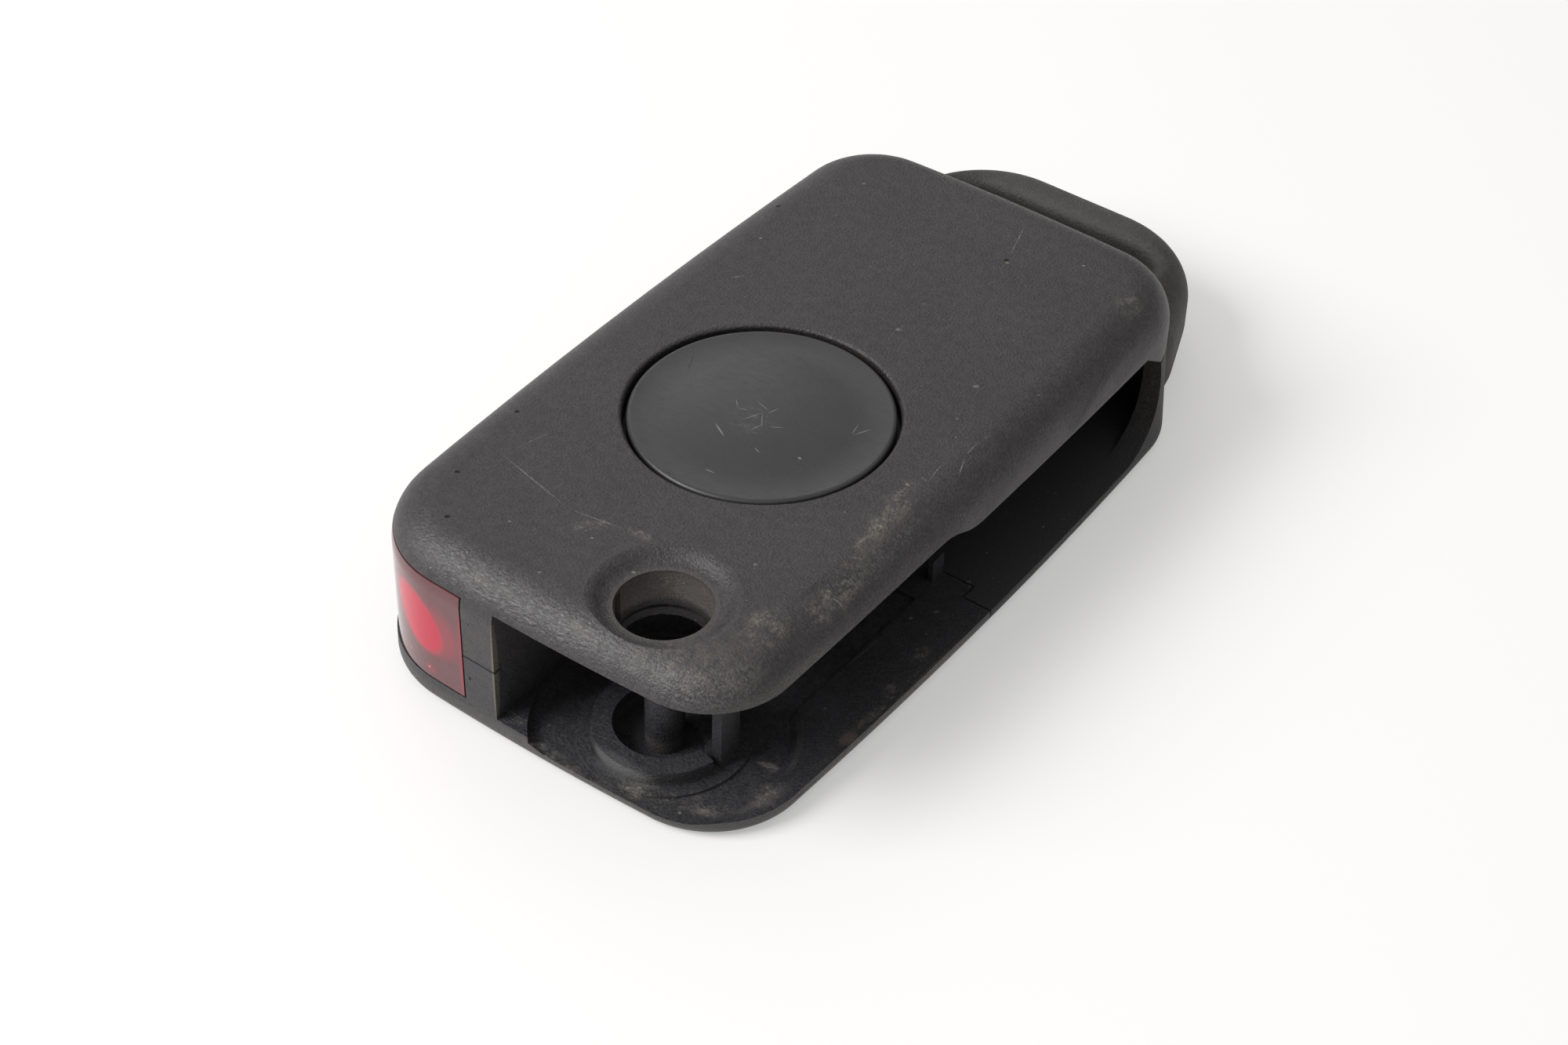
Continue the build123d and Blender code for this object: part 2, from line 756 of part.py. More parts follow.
with BuildPart() as button_pad:
    with BuildSketch(button_section):
        with BuildLine():
            apex = (0, button_top + dome_rise)
            dome_edge = (dome_radius, button_top)
            rim_inside = button_radius - button_skin
            Line((0, button_inside), apex)
            dome_bend = TangentArc(apex, dome_edge, tangent=(1, 0))
            TangentArc(dome_edge, (button_radius, button_top), tangent=dome_bend % 1)
            Line((button_radius, button_top), (button_radius, button_bottom))
            Line((button_radius, button_bottom), (rim_inside, button_bottom))
            Line((rim_inside, button_bottom), (rim_inside, button_inside))
            Line((rim_inside, button_inside), (0, button_inside))
        make_face()
    revolve(axis=button_axis)
    button_rim = button_pad.edges().filter_by(
        lambda edge: edge.geom_type == GeomType.CIRCLE and abs(edge.radius - button_radius) < 0.001
    )
    fillet(button_rim.sort_by(Axis.Z)[-1], button_edge_round)
    with BuildSketch(Plane.XY.offset(plunger_top + stem_gap)):
        with Locations((0, button_y)):
            Circle(stem_radius)
    extrude(amount=button_inside - plunger_top - stem_gap)
    for side in (-1, 1):
        hook_reach = snap_thickness + snap_hook
        hook_middle = snap_offset + snap_hook / 2
        with BuildSketch(Plane.XY.offset(hook_top - snap_hook_height)):
            with Locations((0, button_y + side * snap_offset)):
                Rectangle(snap_width, snap_thickness)
        extrude(amount=button_inside - hook_top + snap_hook_height)
        with BuildSketch(Plane.XY.offset(hook_top - snap_hook_height)):
            with Locations((0, button_y + side * hook_middle)):
                Rectangle(snap_width, hook_reach)
        extrude(amount=snap_hook_height)
button_pad.part.label = "button_pad"
export_step(button_pad.part, "parts/button_pad.step")


# Red window round the front left corner, held by a flange behind the walls

with BuildPart() as signal_lens:
    add(body_block.part)
    with BuildSketch(Plane.XY.offset(lens_bottom + lens_gap)):
        add(body_plan.sketch)
        offset(amount=wall)
        add(inner_plan.sketch, mode=Mode.SUBTRACT)
        with Locations((-lens_right - lens_gap, front_face + lens_rear_setback - lens_gap)):
            Rectangle(far, far, align=(Align.MAX, Align.MAX), mode=Mode.INTERSECT)
    extrude(amount=skirt_front_height - lens_bottom - 2 * lens_gap, mode=Mode.INTERSECT)
    with BuildSketch(Plane.XY.offset(lens_bottom - lens_flange_width)):
        add(inner_plan.sketch)
        offset(amount=-lens_flange_thickness, mode=Mode.SUBTRACT)
        flange_x = -lens_right + lens_flange_width
        flange_y = front_face + lens_rear_setback + lens_flange_width
        with Locations((flange_x, flange_y)):
            Rectangle(far, far, align=(Align.MAX, Align.MAX), mode=Mode.INTERSECT)
    extrude(amount=skirt_front_height - lens_bottom + 2 * lens_flange_width)
    with BuildSketch(Plane.XY.offset(lens_bottom + lens_flange_overlap)):
        add(inner_plan.sketch)
        overlap_x = -lens_right - lens_flange_overlap
        overlap_y = front_face + lens_rear_setback - lens_flange_overlap
        with Locations((overlap_x, overlap_y)):
            Rectangle(far, far, align=(Align.MAX, Align.MAX), mode=Mode.INTERSECT)
    extrude(amount=skirt_front_height - lens_bottom - 2 * lens_flange_overlap, mode=Mode.SUBTRACT)
signal_lens.part.label = "signal_lens"
export_step(signal_lens.part, "parts/signal_lens.step")


# Circuit board

with BuildPart() as circuit_board:
    with BuildSketch(Plane.XY.offset(board_bottom)):
        add(cabin_plan.sketch)
        offset(amount=-board_gap)
    extrude(amount=board_thickness)
circuit_board.part.label = "circuit_board"
export_step(circuit_board.part, "parts/circuit_board.step")


# Push switch under the stem of the button

with BuildPart() as push_switch:
    with BuildSketch(Plane.XY.offset(board_top)):
        with Locations((0, button_y)):
            Rectangle(switch_size, switch_size)
    extrude(amount=switch_height)
    bore_depth = plunger_depth + button_travel + plunger_gap
    with BuildSketch(Plane.XY.offset(board_top + switch_height - bore_depth)):
        with Locations((0, button_y)):
            Circle(plunger_radius + plunger_gap)
    extrude(amount=bore_depth, mode=Mode.SUBTRACT)
push_switch.part.label = "push_switch"
export_step(push_switch.part, "parts/push_switch.step")

with BuildPart() as switch_plunger:
    with BuildSketch(Plane.XY.offset(board_top + switch_height - plunger_depth)):
        with Locations((0, button_y)):
            Circle(plunger_radius)
    extrude(amount=plunger_depth + plunger_rise)
switch_plunger.part.label = "switch_plunger"
export_step(switch_plunger.part, "parts/switch_plunger.step")

with BuildPart() as switch_legs:
    with BuildSketch(Plane.XY.offset(board_top)):
        with Locations((0, button_y)):
            with GridLocations(switch_leg_pitch, switch_size + switch_leg_reach, 2, 2):
                Rectangle(switch_leg_width, switch_leg_reach)
    extrude(amount=switch_leg_thickness)
switch_legs.part.label = "switch_legs"
export_step(switch_legs.part, "parts/switch_legs.step")


# Remote control chip and its legs

chip_y = front_face + chip_setback

with BuildPart() as remote_chip:
    with BuildSketch(Plane.XY.offset(board_top)):
        with Locations((chip_x, chip_y)):
            Rectangle(chip_width, chip_length)
    extrude(amount=chip_height)
    chamfer(remote_chip.edges().group_by(Axis.Z)[-1], chip_leg_thickness)
remote_chip.part.label = "remote_chip"
export_step(remote_chip.part, "parts/remote_chip.step")

with BuildPart() as chip_legs:
    first_leg_y = chip_y - chip_leg_pitch * (chip_leg_count - 1) / 2
    foot = chip_leg_reach / 2
    thickness = chip_leg_thickness
    for index in range(chip_leg_count):
        leg_y = first_leg_y + index * chip_leg_pitch + chip_leg_width / 2
        for side in (-1, 1):
            leg_origin = (chip_x + side * chip_width / 2, leg_y, board_top)
            with BuildSketch(Plane(origin=leg_origin, x_dir=(side, 0, 0), z_dir=(0, -side, 0))):
                with BuildLine():
                    Polyline(
                        (0, chip_leg_height),
                        (foot + thickness, chip_leg_height),
                        (foot + thickness, thickness),
                        (chip_leg_reach, thickness),
                        (chip_leg_reach, 0),
                        (foot, 0),
                        (foot, chip_leg_height - thickness),
                        (0, chip_leg_height - thickness),
                        close=True,
                    )
                make_face()
            extrude(amount=side * chip_leg_width)
chip_legs.part.label = "chip_legs"
export_step(chip_legs.part, "parts/chip_legs.step")


# Small components on the board

with BuildPart() as resonator:
    with BuildSketch(Plane.XY.offset(board_top)):
        with Locations((resonator_x, front_face + resonator_setback)):
            RectangleRounded(resonator_length, resonator_width, resonator_width / 3)
    extrude(amount=resonator_height)
resonator.part.label = "resonator"
export_step(resonator.part, "parts/resonator.step")

with BuildPart() as capacitor:
    with BuildSketch(Plane.XY.offset(board_top)):
        with Locations((capacitor_x, front_face + capacitor_setback)):
            Circle(capacitor_radius)
    extrude(amount=capacitor_height)
    fillet(capacitor.edges().group_by(Axis.Z)[-1], capacitor_radius / 8)
capacitor.part.label = "capacitor"
export_step(capacitor.part, "parts/capacitor.step")

with BuildPart() as resistors:
    with BuildSketch(Plane.XY.offset(board_top)):
        with Locations(*[(x, front_face + setback) for x, setback in resistor_places]):
            Rectangle(resistor_width, resistor_length)
    extrude(amount=resistor_height)
resistors.part.label = "resistors"
export_step(resistors.part, "parts/resistors.step")

with BuildPart() as transistor:
    with BuildSketch(Plane.XY.offset(board_top)):
        with Locations((transistor_x, front_face + transistor_setback)):
            Rectangle(transistor_length, transistor_width)
    extrude(amount=transistor_height)
    chamfer(transistor.edges().group_by(Axis.Z)[-1], transistor_height / 6)
transistor.part.label = "transistor"
export_step(transistor.part, "parts/transistor.step")


# Light emitters behind the window, and their wire leads


def emitter(base, angle, radius, body_length, flange_radius, flange_thickness):
    """A round emitter with a domed front, pointing level along the angle from its base."""
    forward = (cos(radians(angle)), sin(radians(angle)), 0)
    across = (forward[1], -forward[0], 0)
    with BuildPart() as body:
        with BuildSketch(Plane(origin=base, x_dir=forward, z_dir=across)):
            with BuildLine():
                Polyline(
                    (body_length, radius),
                    (flange_thickness, radius),
                    (flange_thickness, flange_radius),
                    (0, flange_radius),
                    (0, 0),
                    (body_length + radius, 0),
                )
                TangentArc((body_length, radius), (body_length + radius, 0), tangent=(1, 0))
            make_face()
        revolve(axis=Axis(base, forward))
    return body.part


def wire_leads(base, angle, spread, length):
    """Two wires that run back from the base of an emitter and turn up to the board."""
    back = Vector(-cos(radians(angle)), -sin(radians(angle)), 0)
    across = Vector(back.Y, -back.X, 0)
    with BuildPart() as pair:
        for side in (-1, 1):
            start = Vector(*base) + across * (side * spread / 2)
            turn = start + back * length
            end = Vector(turn.X, turn.Y, board_bottom)
            with BuildLine() as route:
                FilletPolyline(start, turn, end, radius=lead_bend)
            with BuildSketch(Plane(origin=start, z_dir=back)):
                Circle(lead_radius)
            sweep(path=route.wire())
    return pair.part


emitter_base = (emitter_x, front_face + emitter_setback, floor_thickness + emitter_rise)
indicator_base = (indicator_x, front_face + indicator_setback, floor_thickness + indicator_rise)
indicator_body_length = indicator_length - indicator_radius

emitter_shape = emitter(
    emitter_base,
    emitter_angle,
    emitter_radius,
    emitter_body_length,
    emitter_flange_radius,
    emitter_flange_thickness,
)
emitter_wires = wire_leads(emitter_base, emitter_angle, emitter_lead_spread, emitter_lead_length)
indicator_shape = emitter(
    indicator_base,
    indicator_angle,
    indicator_radius,
    indicator_body_length,
    indicator_flange_radius,
    indicator_flange_thickness,
)
indicator_wires = wire_leads(indicator_base, indicator_angle, indicator_lead_spread, indicator_lead_length)

with BuildPart() as ir_led:
    add(emitter_shape)
ir_led.part.label = "ir_led"
export_step(ir_led.part, "parts/ir_led.step")

with BuildPart() as ir_led_leads:
    add(emitter_wires)
ir_led_leads.part.label = "ir_led_leads"
export_step(ir_led_leads.part, "parts/ir_led_leads.step")

with BuildPart() as indicator_led:
    add(indicator_shape)
indicator_led.part.label = "indicator_led"
export_step(indicator_led.part, "parts/indicator_led.step")

with BuildPart() as indicator_leads:
    add(indicator_wires)
indicator_leads.part.label = "indicator_leads"
export_step(indicator_leads.part, "parts/indicator_leads.step")


# Battery: two coin cells in a tray under the board, with their contacts


def coin_cell(bottom):
    """A coin cell with its can above and its narrower cap below."""
    with BuildPart() as cell:
        with BuildSketch(Plane.XY.offset(bottom)):
            with Locations((cell_x, cell_y)):
                Circle(cell_cap_radius)
        extrude(amount=cell_cap_rise)
        with BuildSketch(Plane.XY.offset(bottom + cell_cap_rise)):
            with Locations((cell_x, cell_y)):
                Circle(cell_radius)
        extrude(amount=cell_thickness - cell_cap_rise)
        fillet(cell.edges().group_by(Axis.Z)[-1], cell_round)
    return cell.part


lower_cell = coin_cell(cell_bottom)
upper_cell = coin_cell(cell_bottom + cell_thickness)

with BuildPart() as battery_lower:
    add(lower_cell)
battery_lower.part.label = "battery_lower"
export_step(battery_lower.part, "parts/battery_lower.step")

with BuildPart() as battery_upper:
    add(upper_cell)
battery_upper.part.label = "battery_upper"
export_step(battery_upper.part, "parts/battery_upper.step")

strip_y = cell_y - cell_radius - strip_cell_gap - strip_thickness
tray_bottom = cell_bottom - strip_thickness

with BuildPart() as battery_tray:
    with BuildSketch(Plane.XY.offset(tray_bottom)):
        add(cabin_plan.sketch)
        offset(amount=-tray_side_gap)
        with Locations((cell_x, cell_y)):
            Circle(tray_reach, mode=Mode.INTERSECT)
            Circle(cell_radius + tray_gap, mode=Mode.SUBTRACT)
    extrude(amount=board_bottom - tray_bottom)
    with BuildSketch(Plane.XY.offset(board_bottom - tray_plate)):
        add(cabin_plan.sketch)
        offset(amount=-tray_side_gap)
        with Locations((cell_x, cell_y)):
            Rectangle(far, 2 * tray_reach, mode=Mode.INTERSECT)
            Rectangle(tray_window, tray_window, mode=Mode.SUBTRACT)
    extrude(amount=tray_plate)
    with BuildSketch(Plane.XY.offset(tray_bottom)):
        strip_slot_end = strip_y + strip_thickness + strip_slot_gap
        with Locations((cell_x, strip_slot_end)):
            strip_slot = strip_width + 2 * strip_slot_gap
            Rectangle(strip_slot, cell_radius, align=(Align.CENTER, Align.MAX))
    extrude(amount=board_bottom - tray_bottom, mode=Mode.SUBTRACT)
battery_tray.part.label = "battery_tray"
export_step(battery_tray.part, "parts/battery_tray.step")

with BuildPart() as contact_negative:
    with BuildSketch(Plane.YZ.offset(cell_x - strip_width / 2)):
        with BuildLine():
            strip_end = strip_y + strip_reach
            Polyline(
                (strip_y, cell_bottom - strip_thickness),
                (strip_end, cell_bottom - strip_thickness),
                (strip_end, cell_bottom),
                (strip_y + strip_thickness, cell_bottom),
                (strip_y + strip_thickness, board_bottom),
                (strip_y, board_bottom),
                close=True,
            )
        make_face()
    extrude(amount=strip_width)
contact_negative.part.label = "contact_negative"
export_step(contact_negative.part, "parts/contact_negative.step")

with BuildPart() as contact_positive:
    with BuildSketch(Plane.YZ.offset(cell_x - strip_width / 2)):
        with BuildLine():
            pad_start = cell_y - tray_window / 2 + strip_slot_gap
            pad_end = pad_start + leaf_pad
            foot_end = cell_y + tray_window / 2 - strip_slot_gap
            foot_start = foot_end - leaf_pad
            Polyline(
                (pad_start, board_bottom),
                (pad_start, board_bottom - strip_thickness),
                (pad_end, board_bottom - strip_thickness),
                (foot_start, cell_top),
                (foot_end, cell_top),
                (foot_end, cell_top + strip_thickness),
                (foot_start + strip_thickness / 4, cell_top + strip_thickness),
                (pad_end + strip_thickness / 4, board_bottom),
                close=True,
            )
        make_face()
    extrude(amount=strip_width)
contact_positive.part.label = "contact_positive"
export_step(contact_positive.part, "parts/contact_positive.step")
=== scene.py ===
"""Looks of a worn black folding key fob housing whose blade is missing.

X runs across the fob, Y towards the key ring loop and Z up through the button. Blender's lengths
are in metres. Places and sizes on the surfaces are written in millimetres, and colours are linear.
"""

from math import atan2, hypot

import bmesh
import bpy
from mathutils import Matrix, Vector

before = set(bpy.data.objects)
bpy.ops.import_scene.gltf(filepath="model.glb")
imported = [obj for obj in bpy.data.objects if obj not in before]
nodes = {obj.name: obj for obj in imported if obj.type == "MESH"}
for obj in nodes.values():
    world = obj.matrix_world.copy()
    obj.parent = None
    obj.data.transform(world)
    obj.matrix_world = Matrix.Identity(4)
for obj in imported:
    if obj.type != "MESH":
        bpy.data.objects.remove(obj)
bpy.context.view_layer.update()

MM = 0.001


# Node helpers. They take millimetres and turn them into metres.

def start_finish(name, colour, roughness):
    """A new finish, its node tree and its main shader."""
    finish = bpy.data.materials.new(name)
    finish.use_nodes = True
    tree = finish.node_tree
    shader = tree.nodes["Principled BSDF"]
    shader.inputs["Base Color"].default_value = (*colour, 1.0)
    shader.inputs["Roughness"].default_value = roughness
    return finish, tree, shader


def surface_place(tree, centre=(0, 0, 0), turn=(0, 0, 0), size=(1, 1, 1)):
    """The place on the object, counted from a centre, turned back and divided by a size."""
    coordinates = tree.nodes.new("ShaderNodeTexCoord")
    mapping = tree.nodes.new("ShaderNodeMapping")
    mapping.vector_type = "TEXTURE"
    mapping.inputs["Location"].default_value = [value * MM for value in centre]
    mapping.inputs["Rotation"].default_value = turn
    mapping.inputs["Scale"].default_value = [value * MM for value in size]
    tree.links.new(coordinates.outputs["Object"], mapping.inputs["Vector"])
    return mapping.outputs["Vector"]


def compute(tree, operation, *values):
    """A Math node whose inputs are sockets or numbers."""
    node = tree.nodes.new("ShaderNodeMath")
    node.operation = operation
    for socket, value in zip(node.inputs, values):
        if isinstance(value, (int, float)):
            socket.default_value = value
        else:
            tree.links.new(value, socket)
    return node.outputs[0]


def times(tree, first, second):
    """One mask multiplied by another, or by a number."""
    return compute(tree, "MULTIPLY", first, second)


def raised(tree, start, mask, amount):
    """A value raised by an amount where a mask is 1."""
    return compute(tree, "MULTIPLY_ADD", mask, amount, start)


def most(tree, masks):
    """The largest of several masks or numbers."""
    top = masks[0]
    for mask in masks[1:]:
        top = compute(tree, "MAXIMUM", top, mask)
    return top


def ramp(tree, value, low, high, start=0.0, end=1.0):
    """Smooth step of a value: it gives start at low and end at high."""
    node = tree.nodes.new("ShaderNodeMapRange")
    node.interpolation_type = "SMOOTHSTEP"
    node.inputs["From Min"].default_value = low
    node.inputs["From Max"].default_value = high
    node.inputs["To Min"].default_value = start
    node.inputs["To Max"].default_value = end
    tree.links.new(value, node.inputs["Value"])
    return node.outputs["Result"]


def within(tree, value, low, high, soft):
    """1 where a value lies between two others, with soft ends."""
    rising = ramp(tree, value, low - soft, low + soft)
    falling = ramp(tree, value, high + soft, high - soft)
    return times(tree, rising, falling)


def upward_part(tree, vector):
    """The Z part of a vector."""
    parts = tree.nodes.new("ShaderNodeSeparateXYZ")
    tree.links.new(vector, parts.inputs["Vector"])
    return parts.outputs["Z"]


def length_of(tree, vector):
    """The length of a vector."""
    length = tree.nodes.new("ShaderNodeVectorMath")
    length.operation = "LENGTH"
    tree.links.new(vector, length.inputs[0])
    return length.outputs["Value"]


def mottle(tree, size, detail=4.0, roughness=0.55, stretch=(1, 1, 1), shift=(0, 0, 0)):
    """Noise with features of about the given size."""
    noise = tree.nodes.new("ShaderNodeTexNoise")
    noise.inputs["Scale"].default_value = 1.0
    noise.inputs["Detail"].default_value = detail
    noise.inputs["Roughness"].default_value = roughness
    place = surface_place(tree, shift, size=[size * value for value in stretch])
    tree.links.new(place, noise.inputs["Vector"])
    return noise.outputs["Fac"]


def loose_cells(tree, place, feature):
    """A pattern of irregular cells of about unit size."""
    cells = tree.nodes.new("ShaderNodeTexVoronoi")
    cells.feature = feature
    cells.inputs["Scale"].default_value = 1.0
    tree.links.new(place, cells.inputs["Vector"])
    return cells


def specks(tree, spacing, radius, shift=(0, 0, 0)):
    """Small round specks: a share of the cells of a loose grid hold one."""
    place = surface_place(tree, shift, size=(spacing, spacing, spacing))
    cells = loose_cells(tree, place, "F1")
    core, rim = radius * 0.6 / spacing, radius * 1.2 / spacing
    share = 0.3
    dot = ramp(tree, cells.outputs["Distance"], core, rim, 1.0, 0.0)
    pick = tree.nodes.new("ShaderNodeSeparateColor")
    tree.links.new(cells.outputs["Color"], pick.inputs["Color"])
    chosen = ramp(tree, pick.outputs["Red"], share, share - 0.05)
    return times(tree, dot, chosen)


def fine_net(tree, spacing, length, turn, width, shift):
    """Thin straight lines that cross, like the scratches in a scuff.

    The meshes of the net are one spacing wide and length spacings long.
    """
    place = surface_place(tree, shift, (0, 0, turn), (spacing, spacing * length, spacing))
    cells = loose_cells(tree, place, "DISTANCE_TO_EDGE")
    return ramp(tree, cells.outputs["Distance"], width / spacing, 0.0)


def spot(tree, centre, size, turn=0.0, edge=0.6):
    """A soft patch: 1 at its centre, 0 past its size. turn is about Z, or about all three axes."""
    turns = turn if isinstance(turn, tuple) else (0, 0, turn)
    place = surface_place(tree, centre, turns, size)
    return ramp(tree, length_of(tree, place), 1.0, 1.0 - edge)


def line_mark(tree, start, end, width):
    """A scratch from one point to another, thinner towards its ends."""
    middle = [(a + b) / 2 for a, b in zip(start, end)]
    run = (end[0] - start[0], end[1] - start[1])
    reach = 1.5  # above and below, so that it lies on a curved surface too
    size = (hypot(*run) / 2, width / 2, reach)
    return spot(tree, middle, size, turn=atan2(run[1], run[0]), edge=0.7)


def edge_band(tree, low, high):
    """Surfaces that lean: the Z part of their normal lies between two values."""
    normal = tree.nodes.new("ShaderNodeTexCoord").outputs["Normal"]
    return within(tree, upward_part(tree, normal), low, high, soft=0.15)


def height_band(tree, low, high, soft=0.3):
    """Places whose height lies between two values."""
    return within(tree, upward_part(tree, surface_place(tree)), low, high, soft)


def round_band(tree, centre, inner, outer):
    """Places whose distance from an upright line lies between two values."""
    # The long third size leaves the height out of the distance
    distance = length_of(tree, surface_place(tree, (*centre, 0), size=(1, 1, 1000)))
    return within(tree, distance, inner, outer, soft=0.1)


def tint(tree, base, colour, share, blend="MIX"):
    """Lays a colour over another by a share."""
    node = tree.nodes.new("ShaderNodeMix")
    node.data_type = "RGBA"
    node.blend_type = blend
    # Numbers 6 and 7 and output 2 are the colour sockets of a Mix node
    factor, lower, upper = node.inputs["Factor"], node.inputs[6], node.inputs[7]
    if isinstance(share, float):
        factor.default_value = share
    else:
        tree.links.new(share, factor)
    for socket, value in ((lower, base), (upper, colour)):
        if isinstance(value, tuple):
            socket.default_value = (*value, 1.0)
        else:
            tree.links.new(value, socket)
    return node.outputs[2]


def vary(tree, base, noise, low, high, spread):
    """Makes a colour darker and lighter with a noise, by up to a share of itself."""
    factor = ramp(tree, noise, low, high, 1 - spread, 1 + spread)
    return tint(tree, base, factor, 1.0, "MULTIPLY")


def scaled(colour, by):
    """A colour made darker or lighter."""
    return tuple(value * by for value in colour)


def relief(tree, shader, heights):
    """Bumps laid over each other, each given as height socket, depth and strength."""
    below = None
    for height, depth, strength in heights:
        bump = tree.nodes.new("ShaderNodeBump")
        bump.inputs["Distance"].default_value = depth * MM
        bump.inputs["Strength"].default_value = strength
        tree.links.new(height, bump.inputs["Height"])
        if below:
            tree.links.new(below, bump.inputs["Normal"])
        below = bump.outputs["Normal"]
    tree.links.new(below, shader.inputs["Normal"])


def wear_on(name, finish):
    """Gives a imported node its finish."""
    piece = nodes[name]
    piece.data.materials.clear()
    piece.data.materials.append(finish)


# Makers of masks. Each gives a function that draws its mask into a node tree, so the marks of
# a piece can be listed before its finish exists.

def mark(start, end, width):
    """A scratch from one point to another."""
    return lambda tree: line_mark(tree, start, end, width)


def patch(centre, size, turn=0.0, edge=0.6):
    """A soft patch."""
    return lambda tree: spot(tree, centre, size, turn, edge)


def flecks(places, size):
    """Small oval patches, one mask each."""
    return [patch(place, (size, size * 0.7, 1.0), 0.6, 0.5) for place in places]


def both(first, second):
    """Places where two masks meet."""
    return lambda tree: times(tree, first(tree), second(tree))


def leaning(low, high, centre, size, edge=0.5):
    """Leaning surfaces within a patch."""
    return both(lambda tree: edge_band(tree, low, high), patch(centre, size, edge=edge))


def round_wall(centre, inner, outer, low, high):
    """Walls round an upright line, between two heights."""
    return both(lambda tree: round_band(tree, centre, inner, outer),
                lambda tree: height_band(tree, low, high))


def drawn(tree, makers):
    """The largest of the masks that several makers give."""
    return most(tree, [make(tree) for make in makers])


# Worn black plastic of the housing

rubbed_grey = (0.1, 0.098, 0.096)
scuff_olive = (0.2, 0.179, 0.145)
speck_pale = (0.36, 0.34, 0.31)
# Colour of dark nick marks and of the painted shade of the front seam
nick_and_seam_black = (0.004, 0.004, 0.004)
most_cover = 0.85  # the share of the plastic's colour that a scuff or a film hides at most


def broken_cover(tree, flaky):
    """Where scuffs and dust cling: flakes and crossed scratches inside ragged patches."""
    ragged = ramp(tree, mottle(tree, 1.1, 9.0, 0.8, shift=(3, 5, 1)), 0.44, 0.62)
    crossed = most(tree, [
        fine_net(tree, spacing=0.75, length=2.2, turn=0.5, width=0.05, shift=(3, 8, 1)),
        fine_net(tree, spacing=0.9, length=1.8, turn=-0.8, width=0.05, shift=(6, 2, 9)),
    ])
    return times(tree, ragged, most(tree, [times(tree, flaky, 0.75),
                                           times(tree, crossed, flaky)]))


def grained_black(name, colour, worn, scuffs, scratches, nicks_and_seam_shade, films_and_painted_light, dull=0.42):
    """Fine grained black moulding with its wear.

    worn, scuffs, scratches and nicks_and_seam_shade are lists of mask makers: rubbed places,
    dull olive scuffs, pale scratches, and dark nick marks with the painted shade of the front
    seam.
    Each film of dust, of dirt, of painted light or of painted shade is a colour, an evenness and
    such a list, and the less even it is, the more it breaks up. dull is the least roughness.
    """
    finish, tree, shader = start_finish(name, colour, 0.5)
    broad = mottle(tree, 9.0, 3.0)
    fine = mottle(tree, 0.2, 2.0, 0.6)
    brushed = mottle(tree, 0.16, 3.0, 0.6, stretch=(3.5, 1, 1), shift=(2, 9, 4))
    cloudy = mottle(tree, 0.9, 6.0, 0.7, shift=(1, 4, 6))
    flaky = ramp(tree, mottle(tree, 0.22, 4.0, 0.7, shift=(8, 2, 5)), 0.42, 0.6, 0.25, 1.0)
    cover = broken_cover(tree, flaky)

    base = tint(tree, scaled(colour, 0.93), scaled(colour, 1.07), ramp(tree, broad, 0.3, 0.7))
    base = vary(tree, base, fine, 0.36, 0.64, 0.26)
    base = vary(tree, base, cloudy, 0.36, 0.64, 0.14)
    rubbed = times(tree, drawn(tree, worn), ramp(tree, brushed, 0.42, 0.7))
    base = tint(tree, base, rubbed_grey, rubbed)
    scuffed = times(tree, drawn(tree, scuffs), cover)
    base = tint(tree, base, scuff_olive, times(tree, scuffed, most_cover))
    # Each film lays dust, dirt, painted light or painted shade over the colour
    for film_and_light_colour, evenness, places in films_and_painted_light:
        film = times(tree, drawn(tree, places), most(tree, [cover, evenness]))
        base = tint(tree, base, film_and_light_colour, times(tree, film, most_cover))
    pale = times(tree, drawn(tree, scratches), flaky)
    dust = most(tree, [specks(tree, 1.9, 0.07), specks(tree, 0.8, 0.04, (7, 3, 2)),
                       times(tree, pale, 0.8)])
    base = tint(tree, base, speck_pale, times(tree, dust, 0.6))

    roughness = ramp(tree, fine, 0.3, 0.7, dull, dull + 0.08)
    roughness = raised(tree, roughness, scuffed, 0.2)
    roughness = raised(tree, roughness, rubbed, -0.08)
    bumps = [(fine, 0.11, 0.8), (cloudy, 0.06, 0.6), (brushed, 0.015, 0.3)]
    # Nick marks and the painted shade of the front seam: darker, rougher and dented
    if nicks_and_seam_shade:
        nicked_and_seam_shaded = drawn(tree, nicks_and_seam_shade)
        base = tint(tree, base, nick_and_seam_black, nicked_and_seam_shaded)
        roughness = raised(tree, roughness, nicked_and_seam_shaded, 0.35)
        bumps.append((times(tree, nicked_and_seam_shaded, -1.0), 0.25, 1.0))
    tree.links.new(base, shader.inputs["Base Color"])
    tree.links.new(roughness, shader.inputs["Roughness"])
    relief(tree, shader, bumps)
    return finish


button_axis = (0.0, -10.05)
hole_axis = (6.95, -30.85)
dust_grey = (0.2, 0.185, 0.16)
lint_yellow = (0.3, 0.26, 0.17)
lip_dirt = (0.085, 0.078, 0.069)

# Pale yellowish line down the left edge of the blade opening
opening_edge = ((0.2, 0.18, 0.13), 0.45, [patch((-3.17, -37.85, 7.0), (0.22, 0.5, 5.6), edge=0.3)])


def front_seam_shade(tree):
    """The fine dark line between the housing halves on the front wall: painted shade of the seam.
    """
    return times(tree, height_band(tree, 6.83, 6.99, 0.05),
                 spot(tree, (-4.7, -37.9, 6.9), (2.2, 1.5, 1.0), edge=0.2))


# Upper housing half

